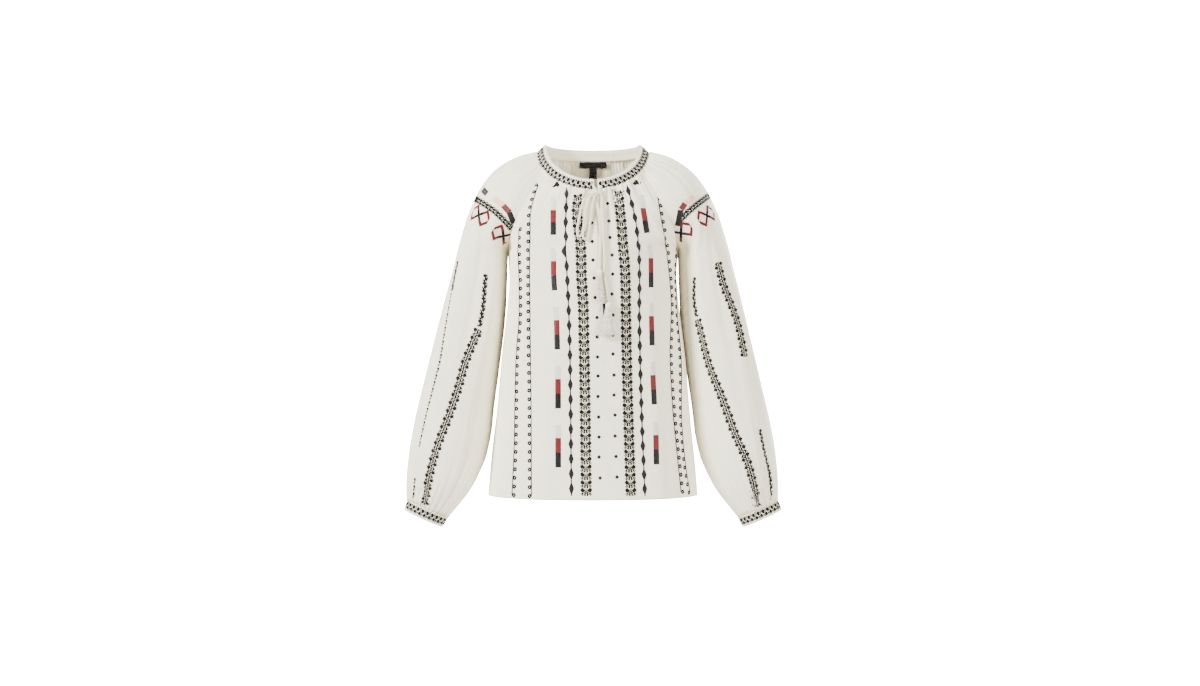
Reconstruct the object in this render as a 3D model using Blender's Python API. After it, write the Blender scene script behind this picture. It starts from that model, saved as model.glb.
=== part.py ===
"""Embroidered raglan blouse, filled out as if worn.

Metres, +Z up, the front faces -Y, origin between the shoulders.
"""

import math

import bmesh
import bpy
import numpy as np

MM = 0.001
SEAM_GAP = 0.3
CLOTH = 1.4
BAND_CLOTH = 1.8

# The neckline is an oval that drops at the front. All sizes are in millimetres.
NECK_HALF_WIDTH = 103.0
NECK_FRONT, NECK_BACK = 92.0, 62.0
NECK_DROP_FRONT, NECK_DROP_BACK = 74.0, 9.5
BAND_TOP_HALF_WIDTH = 88.0
BAND_TOP_FRONT, BAND_TOP_BACK = 87.0, 56.0
BAND_RISE, BAND_RISE_SIDE = 17.0, 14.5
BAND_SEAT = 0.6
BAND_OUT = (0.4, 1.0, 0.5)
RAGLAN_FRONT, RAGLAN_BACK = math.radians(62), math.radians(120)

# The keyhole slit lies a little to one side of the centre. Further down, the rows run straight again.
SLIT_X_TOP, SLIT_X_BOTTOM = 6.0, 9.0
SLIT_HALF_TOP, SLIT_HALF_MIDDLE, SLIT_HALF_BAND = 1.0, 2.8, 3.4
SLIT_END_ROW, STRAIGHT_ROW = 0.91, 1.6

# Rows from the neck (0) by the underarm (1) to the hem or the cuff (2).
UPPER_ROWS = (0.0, 0.1, 0.24, 0.42, 0.6, 0.78, SLIT_END_ROW, 0.965, 1.0)
FRONT_ROWS = UPPER_ROWS + (1.15, 1.32, 1.5, 1.68, 1.85, 2.0)
BACK_ROWS = UPPER_ROWS + (1.2, 1.45, 1.7, 2.0)
SLEEVE_ROWS = UPPER_ROWS + (1.12, 1.28, 1.46, 1.64, 1.79, 1.89, 1.95, 2.0)
FRONT_COLUMNS, BACK_COLUMNS, SLEEVE_COLUMNS = 44, 54, 42

# Sleeve sections: the ridge on top of the arm, the line midway between the two seams (the inner
# edge below the underarm), half the depth, and the half angle of the arc about its own centre.
SLEEVE = {
    "row":        (0.0, 0.24, 0.5, 0.78, 0.91, 1.0, 1.15, 1.32, 1.5, 1.68, 1.82, 1.91, 1.96, 2.0),
    "ridge_x":    (103, 143, 184, 217, 233, 246, 258, 274, 292, 312, 329, 337, 340, 339),
    "ridge_z":    (0, -11, -38, -86, -124, -167, -213, -270, -340, -423, -500, -556, -601, -639),
    "middle_x":   (91.5, 108, 129, 147, 153, 156, 158, 161, 169, 181, 191, 206, 230, 268),
    "middle_z":   (-19, -56, -101, -145, -167, -187, -236, -300, -372, -460, -534, -580, -624, -671),
    "middle_y":   (-6, -1, 0, 0, 0, 0, 0, 0, -1, -3, -6, -8, -10, -11),
    "half_depth": (42, 64, 76, 68, 64, 62, 63, 65, 67, 69, 68, 62, 49, 28),
    "half_angle": (62, 81, 96, 119, 143, 180, 180, 180, 180, 180, 180, 180, 180, 180),
    "lean":       (0.41, 0.16, 0.07, 0.02, 0.0, 0.0, 0.0, 0.0, 0.0, 0.0, 0.0, 0.0, 0.0, 0.0),
}
# The sleeve's ridge starts a little behind the middle, and its first rows are fitted to the neckline.
RIDGE_BACK, RIDGE_BACK_ROWS = 6.0, 0.4
NECK_FIT_ROWS = 0.5

# Body sections below the underarm, and the centre lines of the front and the back.
SIDE = {
    "row":    (1.0, 1.15, 1.32, 1.5, 1.68, 1.85, 2.0),
    "side_x": (156, 154, 157, 165, 175, 186, 193),
    "side_z": (-187, -236, -305, -382, -462, -552, -628),
}
CENTRE = {
    "row":     (0.0, 0.24, 0.5, 0.78, 1.0, 1.15, 1.32, 1.5, 1.68, 1.85, 2.0),
    "front_y": (-92, -97, -104, -111, -115, -116, -113, -111, -112, -116, -119),
    "front_z": (-74, -93, -117, -152, -187, -237, -307, -385, -465, -555, -632),
    "back_y":  (62, 75, 90, 99.5, 104, 105, 103.5, 103, 107, 112.5, 117),
    "back_z":  (-9.5, -42, -84, -140, -186, -236, -306, -384, -464, -554, -630),
}
SECTION_SQUARENESS = {"row": (0.0, 1.0, 2.0), "power": (1.0, 0.9, 0.88)}

# Gathers under the neckband and above the cuffs: half their number, the height of a wave and the rows
# over which it fades. Seams hold the cloth, so that folds die out close to them.
FRONT_GATHERS, BACK_GATHERS = 11, 18
CAP_GATHERS, CUFF_GATHERS = 8, 14
NECK_GATHER, BACK_NECK_GATHER, CUFF_GATHER = 1.5, 0.9, 2.2
FRONT_GATHER_ROWS, NECK_GATHER_ROWS, CUFF_GATHER_ROWS = 0.35, 0.3, 0.09
SEAM_HOLD_POWER = 6

# Long soft folds: place across the panel (-1 to 1), rows where each starts, peaks and ends,
# half width across, and how far it stands out (a negative one is a hollow).
FRONT_FOLDS = (
    {"across": -0.72, "start": 0.2, "peak": 0.9, "end": 1.9, "width": 0.10, "height": 3.0},
    {"across": 0.70, "start": 0.2, "peak": 1.1, "end": 1.8, "width": 0.09, "height": 4.0},
    {"across": -0.45, "start": 0.9, "peak": 1.7, "end": 2.4, "width": 0.12, "height": -2.5},
    {"across": 0.42, "start": 1.0, "peak": 1.8, "end": 2.4, "width": 0.12, "height": 2.5},
    {"across": 0.0, "start": 1.1, "peak": 1.8, "end": 2.4, "width": 0.14, "height": -2.0},
)
BACK_FOLDS = (
    {"across": -0.6, "start": 0.3, "peak": 1.2, "end": 2.3, "width": 0.11, "height": 3.5},
    {"across": -0.15, "start": 0.6, "peak": 1.5, "end": 2.4, "width": 0.12, "height": -3.0},
    {"across": 0.3, "start": 0.4, "peak": 1.4, "end": 2.4, "width": 0.11, "height": 3.0},
    {"across": 0.75, "start": 0.5, "peak": 1.3, "end": 2.2, "width": 0.10, "height": -3.0},
)
SLEEVE_FOLDS = (
    {"across": -0.55, "start": 0.5, "peak": 1.3, "end": 1.95, "width": 0.10, "height": 3.5},
    {"across": -0.15, "start": 0.9, "peak": 1.6, "end": 2.0, "width": 0.09, "height": -3.0},
    {"across": 0.25, "start": 0.7, "peak": 1.5, "end": 1.98, "width": 0.10, "height": 3.5},
    {"across": 0.6, "start": 0.5, "peak": 1.4, "end": 1.95, "width": 0.10, "height": -3.0},
)

CUFF_HEIGHT = 16.0
CUFF_OUT = (0.2, 0.9, 0.3)
CUFF_COLUMNS, BAND_COLUMNS = 36, 60
NECK_PICOTS, CUFF_PICOTS = 60, 25
PICOT_HEIGHT, PICOT_LOW, PICOT_OUT, PICOT_CLOTH = 2.3, 0.35, 0.1, 1.2

CORD_DIAMETER = 4.2
STRAND_SIDES = 10
STRAND_PARTING = 0.22
STRAND_SPREAD = (0.3, 0.65, 1.0)
TASSEL_HEAD_RADIUS, TASSEL_SKIRT = 5.0, 46.0
TASSEL_FLATNESS = 0.86
TASSEL_OUT = 0.5
TASSEL_OUTER_STRAND = 0.75
STRAND_UNEVEN = 0.05
# Share of the head's radius, and height below its top. The last two rings are the flat foot.
TASSEL_PROFILE = (
    (0.3, 0.0), (0.65, -0.8), (0.95, -3.0), (1.0, -5.5), (0.84, -7.6),
    (0.72, -8.8), (0.84, -10.0), (1.0, -12.0), (1.0, -13.0), (0.5, -13.0),
)

MATERIALS = {
    "cloth":  {"colour": (0.80, 0.77, 0.70), "roughness": 0.9},
    "band":   {"colour": (0.05, 0.04, 0.05), "roughness": 0.6},
    "cord":   {"colour": (0.78, 0.75, 0.69), "roughness": 0.85},
    "label":  {"colour": (0.01, 0.01, 0.012), "roughness": 0.4},
}


def curve_of(table, column, at):
    """The column's value at each row asked for, on a smooth curve through the table."""
    rows = np.asarray(table["row"], float)
    values = np.asarray(table[column], float)
    at = np.atleast_1d(np.asarray(at, float))
    slopes = np.gradient(values, rows)
    i = np.clip(np.searchsorted(rows, at, side="right") - 1, 0, len(rows) - 2)
    step = rows[i + 1] - rows[i]
    t = (at - rows[i]) / step
    near = (1 + 2 * t) * (1 - t) ** 2 * values[i] + t * (1 - t) ** 2 * step * slopes[i]
    far = t**2 * (3 - 2 * t) * values[i + 1] - t**2 * (1 - t) * step * slopes[i + 1]
    return near + far


def smoothstep(low, high, value):
    t = np.clip((value - low) / (high - low), 0, 1)
    return t * t * (3 - 2 * t)


def oval(angle, half_width, front, back, drop_front, drop_back):
    """Points of an oval seen from above, whose height follows its depth. Angle 0 is the centre front."""
    angle = np.asarray(angle, float)
    facing = np.cos(angle)
    depth = np.where(facing > 0, -front * facing, -back * facing)
    height = np.where(facing > 0, -drop_front * facing, drop_back * facing)
    return np.stack([half_width * np.sin(angle), depth, height], axis=-1)


def neckline(angle):
    return oval(angle, NECK_HALF_WIDTH, NECK_FRONT, NECK_BACK, NECK_DROP_FRONT, NECK_DROP_BACK)


def band_top(angle):
    top = oval(angle, BAND_TOP_HALF_WIDTH, BAND_TOP_FRONT, BAND_TOP_BACK, NECK_DROP_FRONT, NECK_DROP_BACK)
    top[..., 2] += BAND_RISE_SIDE + (BAND_RISE - BAND_RISE_SIDE) * np.abs(np.cos(angle))
    return top


def folds_at(folds, across, row):
    """How far the long folds move the cloth out, at each place."""
    moved = np.zeros(np.broadcast(across, row).shape)
    for fold in folds:
        rise = smoothstep(fold["start"], fold["peak"], row)
        fall = 1 - smoothstep(fold["peak"], fold["end"], row)
        bell = np.exp(-(((across - fold["across"]) / fold["width"]) ** 2))
        moved = moved + fold["height"] * bell * rise * fall
    return moved


def gathers_at(count, across, row, height, fade):
    """Waves along the neck edge that grow fewer and shallower further down."""
    wave = np.cos(math.pi * count * (across + 1))
    uneven = 1 + 0.25 * np.sin(5 * across + 1)
    return height * uneven * wave * np.exp(-row / fade)


def sleeve_surface(across, row):
    """The right sleeve. Across runs from the front seam (-1) over the arm to the back seam (1)."""
    value = {name: curve_of(SLEEVE, name, row) for name in SLEEVE if name != "row"}
    half_angle = np.radians(np.where(row >= 1, 180, value["half_angle"]))
    turn = across * half_angle
    middle = np.stack([value["middle_x"], value["middle_y"], value["middle_z"]], axis=-1)
    ridge_y = value["middle_y"] + RIDGE_BACK * np.clip(1 - row / RIDGE_BACK_ROWS, 0, 1)
    ridge = np.stack([value["ridge_x"], ridge_y, value["ridge_z"]], axis=-1)
    reach = (ridge - middle) / (1 - np.cos(half_angle))[..., None]
    depth = value["half_depth"]
    side = np.stack([np.zeros_like(depth), depth, depth * value["lean"]], axis=-1)
    points = ridge + reach * (np.cos(turn) - 1)[..., None] + side * np.sin(turn)[..., None]
    edge = neckline(RAGLAN_FRONT + (across + 1) / 2 * (RAGLAN_BACK - RAGLAN_FRONT))
    start = sleeve_start(across)
    return points + (edge - start) * (np.clip(1 - row / NECK_FIT_ROWS, 0, 1) ** 2)[..., None]


def sleeve_start(across):
    """The plain arc of the sleeve's first row, before it is fitted to the neckline."""
    first = {name: float(SLEEVE[name][0]) for name in SLEEVE if name != "row"}
    half_angle = math.radians(first["half_angle"])
    turn = across * half_angle
    middle = np.array([first["middle_x"], first["middle_y"], first["middle_z"]])
    ridge = np.array([first["ridge_x"], first["middle_y"] + RIDGE_BACK, first["ridge_z"]])
    reach = (ridge - middle) / (1 - math.cos(half_angle))
    side = np.array([0, first["half_depth"], first["half_depth"] * first["lean"]])
    return ridge + reach * (np.cos(turn) - 1)[..., None] + side * np.sin(turn)[..., None]


def seam_point(row, facing):
    """The right raglan seam down to the underarm, then the side seam. Facing is -1 in front, 1 behind."""
    row = np.asarray(row, float)
    upper = sleeve_surface(np.full(row.shape, float(facing)), np.minimum(row, 1.0))
    side_x = curve_of(SIDE, "side_x", np.maximum(row, 1.0)).reshape(row.shape)
    side_z = curve_of(SIDE, "side_z", np.maximum(row, 1.0)).reshape(row.shape)
    lower = np.stack([side_x, np.zeros_like(side_x), side_z], axis=-1)
    return np.where((row < 1)[..., None], upper, lower)


def body_section(row, facing):
    """A row's arc about the body's middle: half angle, power, seam point, centre depth and height."""
    power = curve_of(SECTION_SQUARENESS, "power", row).reshape(row.shape)
    seam = seam_point(row, facing)
    name = "front" if facing < 0 else "back"
    centre_y = curve_of(CENTRE, name + "_y", row).reshape(row.shape)
    centre_z = curve_of(CENTRE, name + "_z", row).reshape(row.shape)
    seam_share = np.clip(seam[..., 1] / centre_y, 0, 1)
    half_angle = np.arccos(seam_share ** (1 / power))
    return half_angle, power, seam, centre_y, centre_z


def body_surface(across, row, facing):
    """The front (facing -1) or back (facing 1) panel. Across runs from the left seam (-1) to 1."""
    half_angle, power, seam, centre_y, centre_z = body_section(row, facing)
    turn = across * half_angle
    x = seam[..., 0] * np.sign(across) * np.abs(np.sin(turn) / np.sin(half_angle)) ** power
    y = centre_y * np.abs(np.cos(turn)) ** power
    toward = (y - seam[..., 1]) / (centre_y - seam[..., 1])
    return np.stack([x, y, seam[..., 2] + (centre_z - seam[..., 2]) * toward], axis=-1)


def unit(vectors):
    return vectors / np.linalg.norm(vectors, axis=-1, keepdims=True)


def grid_normals(points, sign):
    """Outward normals of a grid of points. Sign is 1 where across x down points inwards, else -1."""
    down = np.gradient(points, axis=0)
    across = np.gradient(points, axis=1)
    return unit(np.cross(down, across) * sign)


def seam_hold(across):
    """Share of a fold's height at each place across a panel: none at its seams."""
    return 1 - across**SEAM_HOLD_POWER


def front_points():
    """Outer points of the front panel, whose middle column follows the slit."""
    across, row = np.meshgrid(np.linspace(-1, 1, FRONT_COLUMNS + 1), FRONT_ROWS)
    slit_x = SLIT_X_TOP + (SLIT_X_BOTTOM - SLIT_X_TOP) * np.clip(row, 0, 1)
    shift = slit_x / seam_point(row, -1)[..., 0] * (1 - smoothstep(1, STRAIGHT_ROW, row))
    place = across + shift * (1 - across**2) ** 2
    points = body_surface(place, row, -1)
    lift = gathers_at(FRONT_GATHERS, across, row, NECK_GATHER, FRONT_GATHER_ROWS)
    lift = (lift + folds_at(FRONT_FOLDS, across, row)) * seam_hold(across)
    return points + lift[..., None] * grid_normals(points, 1)


def back_points():
    across, row = np.meshgrid(np.linspace(-1, 1, BACK_COLUMNS + 1), BACK_ROWS)
    points = body_surface(across, row, 1)
    lift = gathers_at(BACK_GATHERS, across, row, BACK_NECK_GATHER, NECK_GATHER_ROWS)
    lift = (lift + folds_at(BACK_FOLDS, across, row)) * seam_hold(across)
    return points + lift[..., None] * grid_normals(points, -1)


def sleeve_points():
    across, row = np.meshgrid(np.linspace(-1, 1, SLEEVE_COLUMNS + 1), SLEEVE_ROWS)
    points = sleeve_surface(across, row)
    cap = gathers_at(CAP_GATHERS, across, row, NECK_GATHER, NECK_GATHER_ROWS)
    cap = (cap + folds_at(SLEEVE_FOLDS, across, row)) * seam_hold(across)
    uneven = 1 + 0.3 * np.sin(3 * math.pi * across + 1)
    wave = uneven * np.cos(math.pi * CUFF_GATHERS * (across + 1))
    cuff = CUFF_GATHER * wave * np.exp((row - 2) / CUFF_GATHER_ROWS)
    return points + (cap + cuff)[..., None] * grid_normals(points, 1)


def apart(points, inner, end, shared, rows):
    """Moves a panel's seam points half a gap off the seam, at right angles to it and to the shared normal."""
    tangent = np.gradient(points[:, end], axis=0)[:rows]
    away = unit(np.cross(tangent, shared))
    towards = np.sum(away * (points[:rows, inner] - points[:rows, end]), axis=-1, keepdims=True)
    points[:rows, end] += SEAM_GAP / 2 * away * np.sign(towards)


def seat_seams(front, back, sleeve):
    """Parts the panels by the seam gap, and gives them one shared normal along each seam."""
    panels = {"front": front, "back": back}
    normals = {
        "front": grid_normals(front, 1),
        "back": grid_normals(back, -1),
        "sleeve": grid_normals(sleeve, 1),
    }
    upper = len(UPPER_ROWS)
    mirrored = np.array([-1.0, 1.0, 1.0])
    seams = sleeve[:upper].copy()
    for name, end, inner in (("front", 0, 1), ("back", -1, -2)):
        shared = unit(normals[name][:upper, -1] + normals["sleeve"][:upper, end])
        shared[-1] = (0, 0, -1)
        normals["sleeve"][:upper, end] = shared
        normals[name][:upper, -1] = shared
        normals[name][:upper, 0] = shared * mirrored
        normals[name][upper:, -1] = (1, 0, 0)
        normals[name][upper:, 0] = (-1, 0, 0)
        apart(panels[name], -2, -1, shared, upper)
        panels[name][:upper, 0] = panels[name][:upper, -1] * mirrored
        facing = -1 if name == "front" else 1
        panels[name][upper - 1 :, (0, -1), 1] += facing * SEAM_GAP / 2
        apart(seams, inner, end, shared, upper)
    below = unit(normals["sleeve"][upper:, 0] + normals["sleeve"][upper:, -1])
    normals["sleeve"][upper:, 0] = below
    normals["sleeve"][upper:, -1] = below
    sleeve[:upper] = seams
    underarm = (sleeve[upper - 1, 0] + sleeve[upper - 1, -1]) / 2
    sleeve[upper - 1, (0, -1)] = underarm
    return normals


def material_named(name):
    if name in bpy.data.materials:
        return bpy.data.materials[name]
    look = MATERIALS[name]
    material = bpy.data.materials.new(name)
    material.use_nodes = True
    shader = material.node_tree.nodes["Principled BSDF"]
    shader.inputs["Base Color"].default_value = (*look["colour"], 1)
    shader.inputs["Roughness"].default_value = look["roughness"]
    shader.inputs["Metallic"].default_value = 0
    return material


def add_object(name, data, material, collection):
    data.materials.append(material_named(material))
    piece = bpy.data.objects.new(name, data)
    collection.objects.link(piece)
    return piece


def mirrored_x(points):
    return points * np.array([-1.0, 1.0, 1.0])


def wall(name, outer, inner, faces, material, collection, flip=False):
    """A closed wall between two sheets of points in millimetres that share their faces."""
    if flip:
        faces = [tuple(reversed(face)) for face in faces]
    count = len(outer)
    edges = {}
    for face in faces:
        for start, end in zip(face, face[1:] + face[:1]):
            edges[(start, end)] = True
    rims = [(end, start, start + count, end + count) for start, end in edges if (end, start) not in edges]
    backs = [tuple(corner + count for corner in reversed(face)) for face in faces]
    mesh = bpy.data.meshes.new(name)
    mesh.from_pydata((np.concatenate([outer, inner]) * MM).tolist(), [], faces + backs + rims)
    mesh.shade_smooth()
    mesh.set_sharp_from_angle(angle=math.radians(50))
    return add_object(name, mesh, material, collection)


def grid_faces(index):
    """Quads over a grid of point numbers, wound to face outwards where across x down points inwards."""
    faces = []
    for upper, lower in zip(index[:-1], index[1:]):
        for left in range(len(upper) - 1):
            corners = (upper[left], lower[left], lower[left + 1], upper[left + 1])
            faces.append(tuple(dict.fromkeys(int(corner) for corner in corners)))
    return faces


def compact(points, other, index_grids):
    """Only the points that the faces use, with the faces' numbers changed to suit."""
    used = np.unique(np.concatenate([grid.reshape(-1) for grid in index_grids]))
    number = np.full(len(points), -1)
    number[used] = np.arange(len(used))
    return points[used], other[used], [number[grid] for grid in index_grids]


def add_front(points, normals, collection):
    """The front in two halves that part along the slit and share their points below it."""
    rows, columns = points.shape[:2]
    middle = columns // 2
    slit_end = UPPER_ROWS.index(SLIT_END_ROW)
    down = np.asarray(UPPER_ROWS[:slit_end]) / SLIT_END_ROW
    slit_half = np.zeros(rows)
    slit_half[:slit_end] = SLIT_HALF_TOP + (SLIT_HALF_MIDDLE - SLIT_HALF_TOP) * np.sin(math.pi * down)
    left, right = points.copy(), points.copy()
    left[:, middle, 0] -= slit_half
    right[:, middle, 0] += slit_half
    both = np.concatenate([left.reshape(-1, 3), right.reshape(-1, 3)])
    turned = np.concatenate([normals.reshape(-1, 3)] * 2)
    index = np.arange(rows * columns).reshape(rows, columns)
    right_index = index + rows * columns
    right_index[slit_end:, middle] = index[slit_end:, middle]
    outer, inner, grids = compact(
        both, both - CLOTH * turned, [index[:, : middle + 1], right_index[:, middle:]]
    )
    faces = grid_faces(grids[0]) + grid_faces(grids[1])
    wall("front", outer, inner, faces, "cloth", collection)


def add_back(points, normals, collection):
    index = np.arange(points.shape[0] * points.shape[1]).reshape(points.shape[:2])
    outer = points.reshape(-1, 3)
    inner = outer - CLOTH * normals.reshape(-1, 3)
    wall("back", outer, inner, grid_faces(index), "cloth", collection, flip=True)


def add_sleeve(name, points, normals, collection, left):
    """A sleeve whose grid is open down to the underarm and closed round the arm below it."""
    index = np.arange(points.shape[0] * points.shape[1]).reshape(points.shape[:2])
    closed_from = len(UPPER_ROWS) - 1
    index[closed_from:, -1] = index[closed_from:, 0]
    flat = points.reshape(-1, 3)
    outer, inner, grids = compact(flat, flat - CLOTH * normals.reshape(-1, 3), [index])
    if left:
        outer, inner = mirrored_x(outer), mirrored_x(inner)
    wall(name, outer, inner, grid_faces(grids[0]), "cloth", collection, flip=left)


def ring_wall(name, loops, thickness, material, collection, closed, left=False):
    """A band of cloth through loops of points, one below the other, running anticlockwise from above."""
    points = np.stack(loops)
    if closed:
        padded = np.concatenate([points[:, -1:], points, points[:, :1]], axis=1)
        normals = grid_normals(padded, 1)[:, 1:-1]
    else:
        normals = grid_normals(points, 1)
    index = np.arange(points.shape[0] * points.shape[1]).reshape(points.shape[:2])
    if closed:
        index = np.concatenate([index, index[:, :1]], axis=1)
    outer = points.reshape(-1, 3)
    inner = outer - thickness * normals.reshape(-1, 3)
    if left:
        outer, inner = mirrored_x(outer), mirrored_x(inner)
    return wall(name, outer, inner, grid_faces(index), material, collection, flip=left)


def band_angles(count):
    """Angles round the neckband from the right side of the slit to its left side."""
    start = math.asin((SLIT_X_TOP + SLIT_HALF_BAND) / NECK_HALF_WIDTH)
    end = 2 * math.pi + math.asin((SLIT_X_TOP - SLIT_HALF_BAND) / NECK_HALF_WIDTH)
    return np.linspace(start, end, count)


def band_edge(angle, rise, out):
    """A line round the neckband, at a height above the neckline seam and a distance out from its face."""
    foot, top = neckline(angle), band_top(angle)
    upward = unit(top - foot)
    along = unit(np.gradient(foot, axis=0))
    outward = unit(np.cross(along, upward))
    return foot + rise[..., None] * upward + out * outward


def add_neckband(collection):
    angle = band_angles(BAND_COLUMNS + 1)
    height = np.linalg.norm(band_top(angle) - neckline(angle), axis=-1)
    rises = (height, height / 2, np.full_like(height, BAND_SEAT))
    loops = [band_edge(angle, rise, out) for rise, out in zip(rises, BAND_OUT)]
    ring_wall("neckband", loops, BAND_CLOTH, "band", collection, closed=False)


def picot_profile(count):
    """Heights along a picot edging, a low and a high point for each bump."""
    return np.array([PICOT_LOW, 1.0] * count + [PICOT_LOW]) * PICOT_HEIGHT


def add_neck_picots(collection):
    angle = band_angles(2 * NECK_PICOTS + 1)
    height = np.linalg.norm(band_top(angle) - neckline(angle), axis=-1) + SEAM_GAP
    rises = (height + picot_profile(NECK_PICOTS), height)
    loops = [band_edge(angle, rise, PICOT_OUT) for rise in rises]
    ring_wall("neckband_picots", loops, PICOT_CLOTH, "cloth", collection, closed=False)


def cuff_loop(count, drop, grow):
    """A loop round the right wrist, at a distance below the sleeve's end."""
    end = {name: SLEEVE[name][-1] for name in SLEEVE}
    ridge = np.array([end["ridge_x"], end["middle_y"], end["ridge_z"]], float)
    inner = np.array([end["middle_x"], end["middle_y"], end["middle_z"]], float)
    across = unit(ridge - inner)
    axis = np.array([across[2], 0, -across[0]])
    centre = (ridge + inner) / 2
    half_width = np.linalg.norm(ridge - inner) / 2 + grow
    half_depth = end["half_depth"] + grow
    turn = np.linspace(-math.pi, math.pi, count, endpoint=False)
    drop = np.broadcast_to(drop, turn.shape)
    side = np.array([0.0, half_depth, 0.0])
    return (
        centre
        + half_width * across * np.cos(turn)[:, None]
        + side * np.sin(turn)[:, None]
        + axis * drop[:, None]
    )


def add_cuff(side, collection):
    left = side == "left"
    drops = (SEAM_GAP, SEAM_GAP + CUFF_HEIGHT / 2, SEAM_GAP + CUFF_HEIGHT)
    loops = [cuff_loop(CUFF_COLUMNS, drop, out) for drop, out in zip(drops, CUFF_OUT)]
    ring_wall("cuff_" + side, loops, BAND_CLOTH, "band", collection, closed=True, left=left)
    foot = 2 * SEAM_GAP + CUFF_HEIGHT
    count = 2 * CUFF_PICOTS
    loops = [
        cuff_loop(count, foot, 0.0),
        cuff_loop(count, foot + picot_profile(CUFF_PICOTS)[:-1], 0.0),
    ]
    ring_wall("cuff_picots_" + side, loops, PICOT_CLOTH, "cloth", collection, closed=True, left=left)


# The knot lies on the cloth just below the slit's top. Each cord leaves it at an angle (0 is +X, 90 is
# up) and a share of its depth towards the front, then follows x, z and a distance out from the cloth.
KNOT = {"x": 8.2, "z": -81.0, "half_width": 5.8, "half_depth": 4.5, "half_height": 4.7}
KNOT_WAIST, KNOT_WAIST_WIDTH = 0.12, 0.3
CORDS = {
    "tie_root_left": {
        "leaves": (112, -0.1),
        "x": (3.0, 1.4, 0.8), "z": (-71.6, -69.6, -69.0), "out": (3.0, 1.2, -0.9),
    },
    "tie_root_right": {
        "leaves": (62, -0.1),
        "x": (13.4, 14.8, 15.2), "z": (-71.4, -69.2, -68.6), "out": (3.0, 1.2, -0.9),
    },
    "tie_loop_left": {
        "leaves": (163, -0.25),
        "x": (-6.5, -13.5, -20.0, -24.8, -27.4, -25.6, -20.6, -16.0, -13.0, -9.6, -4.8),
        "z": (-81.5, -90, -106, -129, -150, -160, -157, -141, -121, -104, -92.6),
        "out": (2.8, 2.2, 1.8, 1.4, 1.1, 1.0, 1.1, 1.4, 1.8, 2.2, 2.6),
        "returns": (208, -0.25),
    },
    "tie_loop_middle": {
        "leaves": (185, 0.66),
        "x": (-5.4, -10.8, -14.2, -16.6, -16.6, -11.8, -7.4, -4.4, -1.8, 1.2),
        "z": (-88.6, -105, -126, -149, -162, -166, -152, -132, -112, -96.5),
        "out": (8.6, 7.6, 6.8, 6.0, 4.0, 1.2, 1.0, 1.2, 1.8, 4.6),
        "returns": (234, 0.62),
    },
    "tie_end_left": {
        "leaves": (264, -0.1),
        "x": (8.4, 11.6, 14.2, 13.4, 11.9), "z": (-101, -129, -165, -192, -218.6),
        "out": (1.8, 1.3, 0.7, 0.7, 1.6),
    },
    "tie_end_right": {
        "leaves": (318, -0.1),
        "x": (16.4, 17.8, 19.2, 20.4, 20.8, 22.8, 25.6, 27.9),
        "z": (-101, -129, -156, -183, -219, -237, -258, -277.6),
        "out": (1.8, 1.3, 0.9, 0.7, 0.7, 0.7, 0.8, 1.6),
    },
}
KNOT_GAP, CORD_LEAD = 0.9, 3.6
CORD_POINT_SPACING = 10.0
SHORT_CORD_SPACING = 2.5
TASSEL_LEFT = {"x": 11.9, "z": -219.0, "lean": 0.075, "half_width": 6.0}
TASSEL_RIGHT = {"x": 27.9, "z": -278.0, "lean": 0.0, "half_width": 20.0}

# The labels' half width as a share of the back panel's, and the rows that they run between.
LABEL_CLOTH = 1.0
LABELS = {
    "label_main": {"across": 0.235, "top": 0.015, "bottom": 0.095, "columns": 8},
    "label_size": {"across": 0.061, "top": 0.1, "bottom": 0.235, "columns": 3},
}


def front_face_y(x, z):
    """Depth of the front panel's plain outer face near its centre line."""
    x, z = np.broadcast_arrays(np.asarray(x, float), np.asarray(z, float))
    rows = np.linspace(0, 2, 81)
    row = np.atleast_1d(np.interp(-z, -curve_of(CENTRE, "front_z", rows), rows))
    half_angle, power, seam, centre_y, _ = body_section(row, -1)
    sine = np.abs(x / seam[..., 0]) ** (1 / power) * np.sin(half_angle)
    return (centre_y * np.sqrt(1 - sine**2) ** power).reshape(x.shape)


def knot_centre():
    depth = front_face_y(KNOT["x"], KNOT["z"]) - NECK_GATHER - KNOT["half_depth"] - SEAM_GAP
    return np.array([KNOT["x"], float(depth), KNOT["z"]])


def knot_side(angle, front_share, away):
    """A place at a distance off the knot's surface."""
    angle = math.radians(angle)
    round_share = math.sqrt(1 - front_share**2)
    form = np.array([KNOT["half_width"], KNOT["half_depth"], KNOT["half_height"]]) + away
    return knot_centre() + form * (math.cos(angle) * round_share, -front_share, math.sin(angle) * round_share)


def smooth_route(points, spacing):
    """Evenly spaced points on a smooth curve through a route's own points."""
    points = np.asarray(points, float)
    rows = np.concatenate([[0], np.cumsum(np.linalg.norm(np.diff(points, axis=0), axis=1))])
    table = {"row": rows, "x": points[:, 0], "y": points[:, 1], "z": points[:, 2]}
    at = np.linspace(0, rows[-1], max(4, round(rows[-1] / spacing) + 1))
    return np.stack([curve_of(table, axis, at) for axis in "xyz"], axis=-1)


def cord_route(route):
    x, z = np.asarray(route["x"], float), np.asarray(route["z"], float)
    y = front_face_y(x, z) - CORD_DIAMETER / 2 - np.asarray(route["out"], float)
    points = [knot_side(*route["leaves"], away) for away in (KNOT_GAP, CORD_LEAD)]
    points.extend(np.stack([x, y, z], axis=-1))
    if "returns" in route:
        points.extend(knot_side(*route["returns"], away) for away in (CORD_LEAD, KNOT_GAP))
    return points


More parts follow.
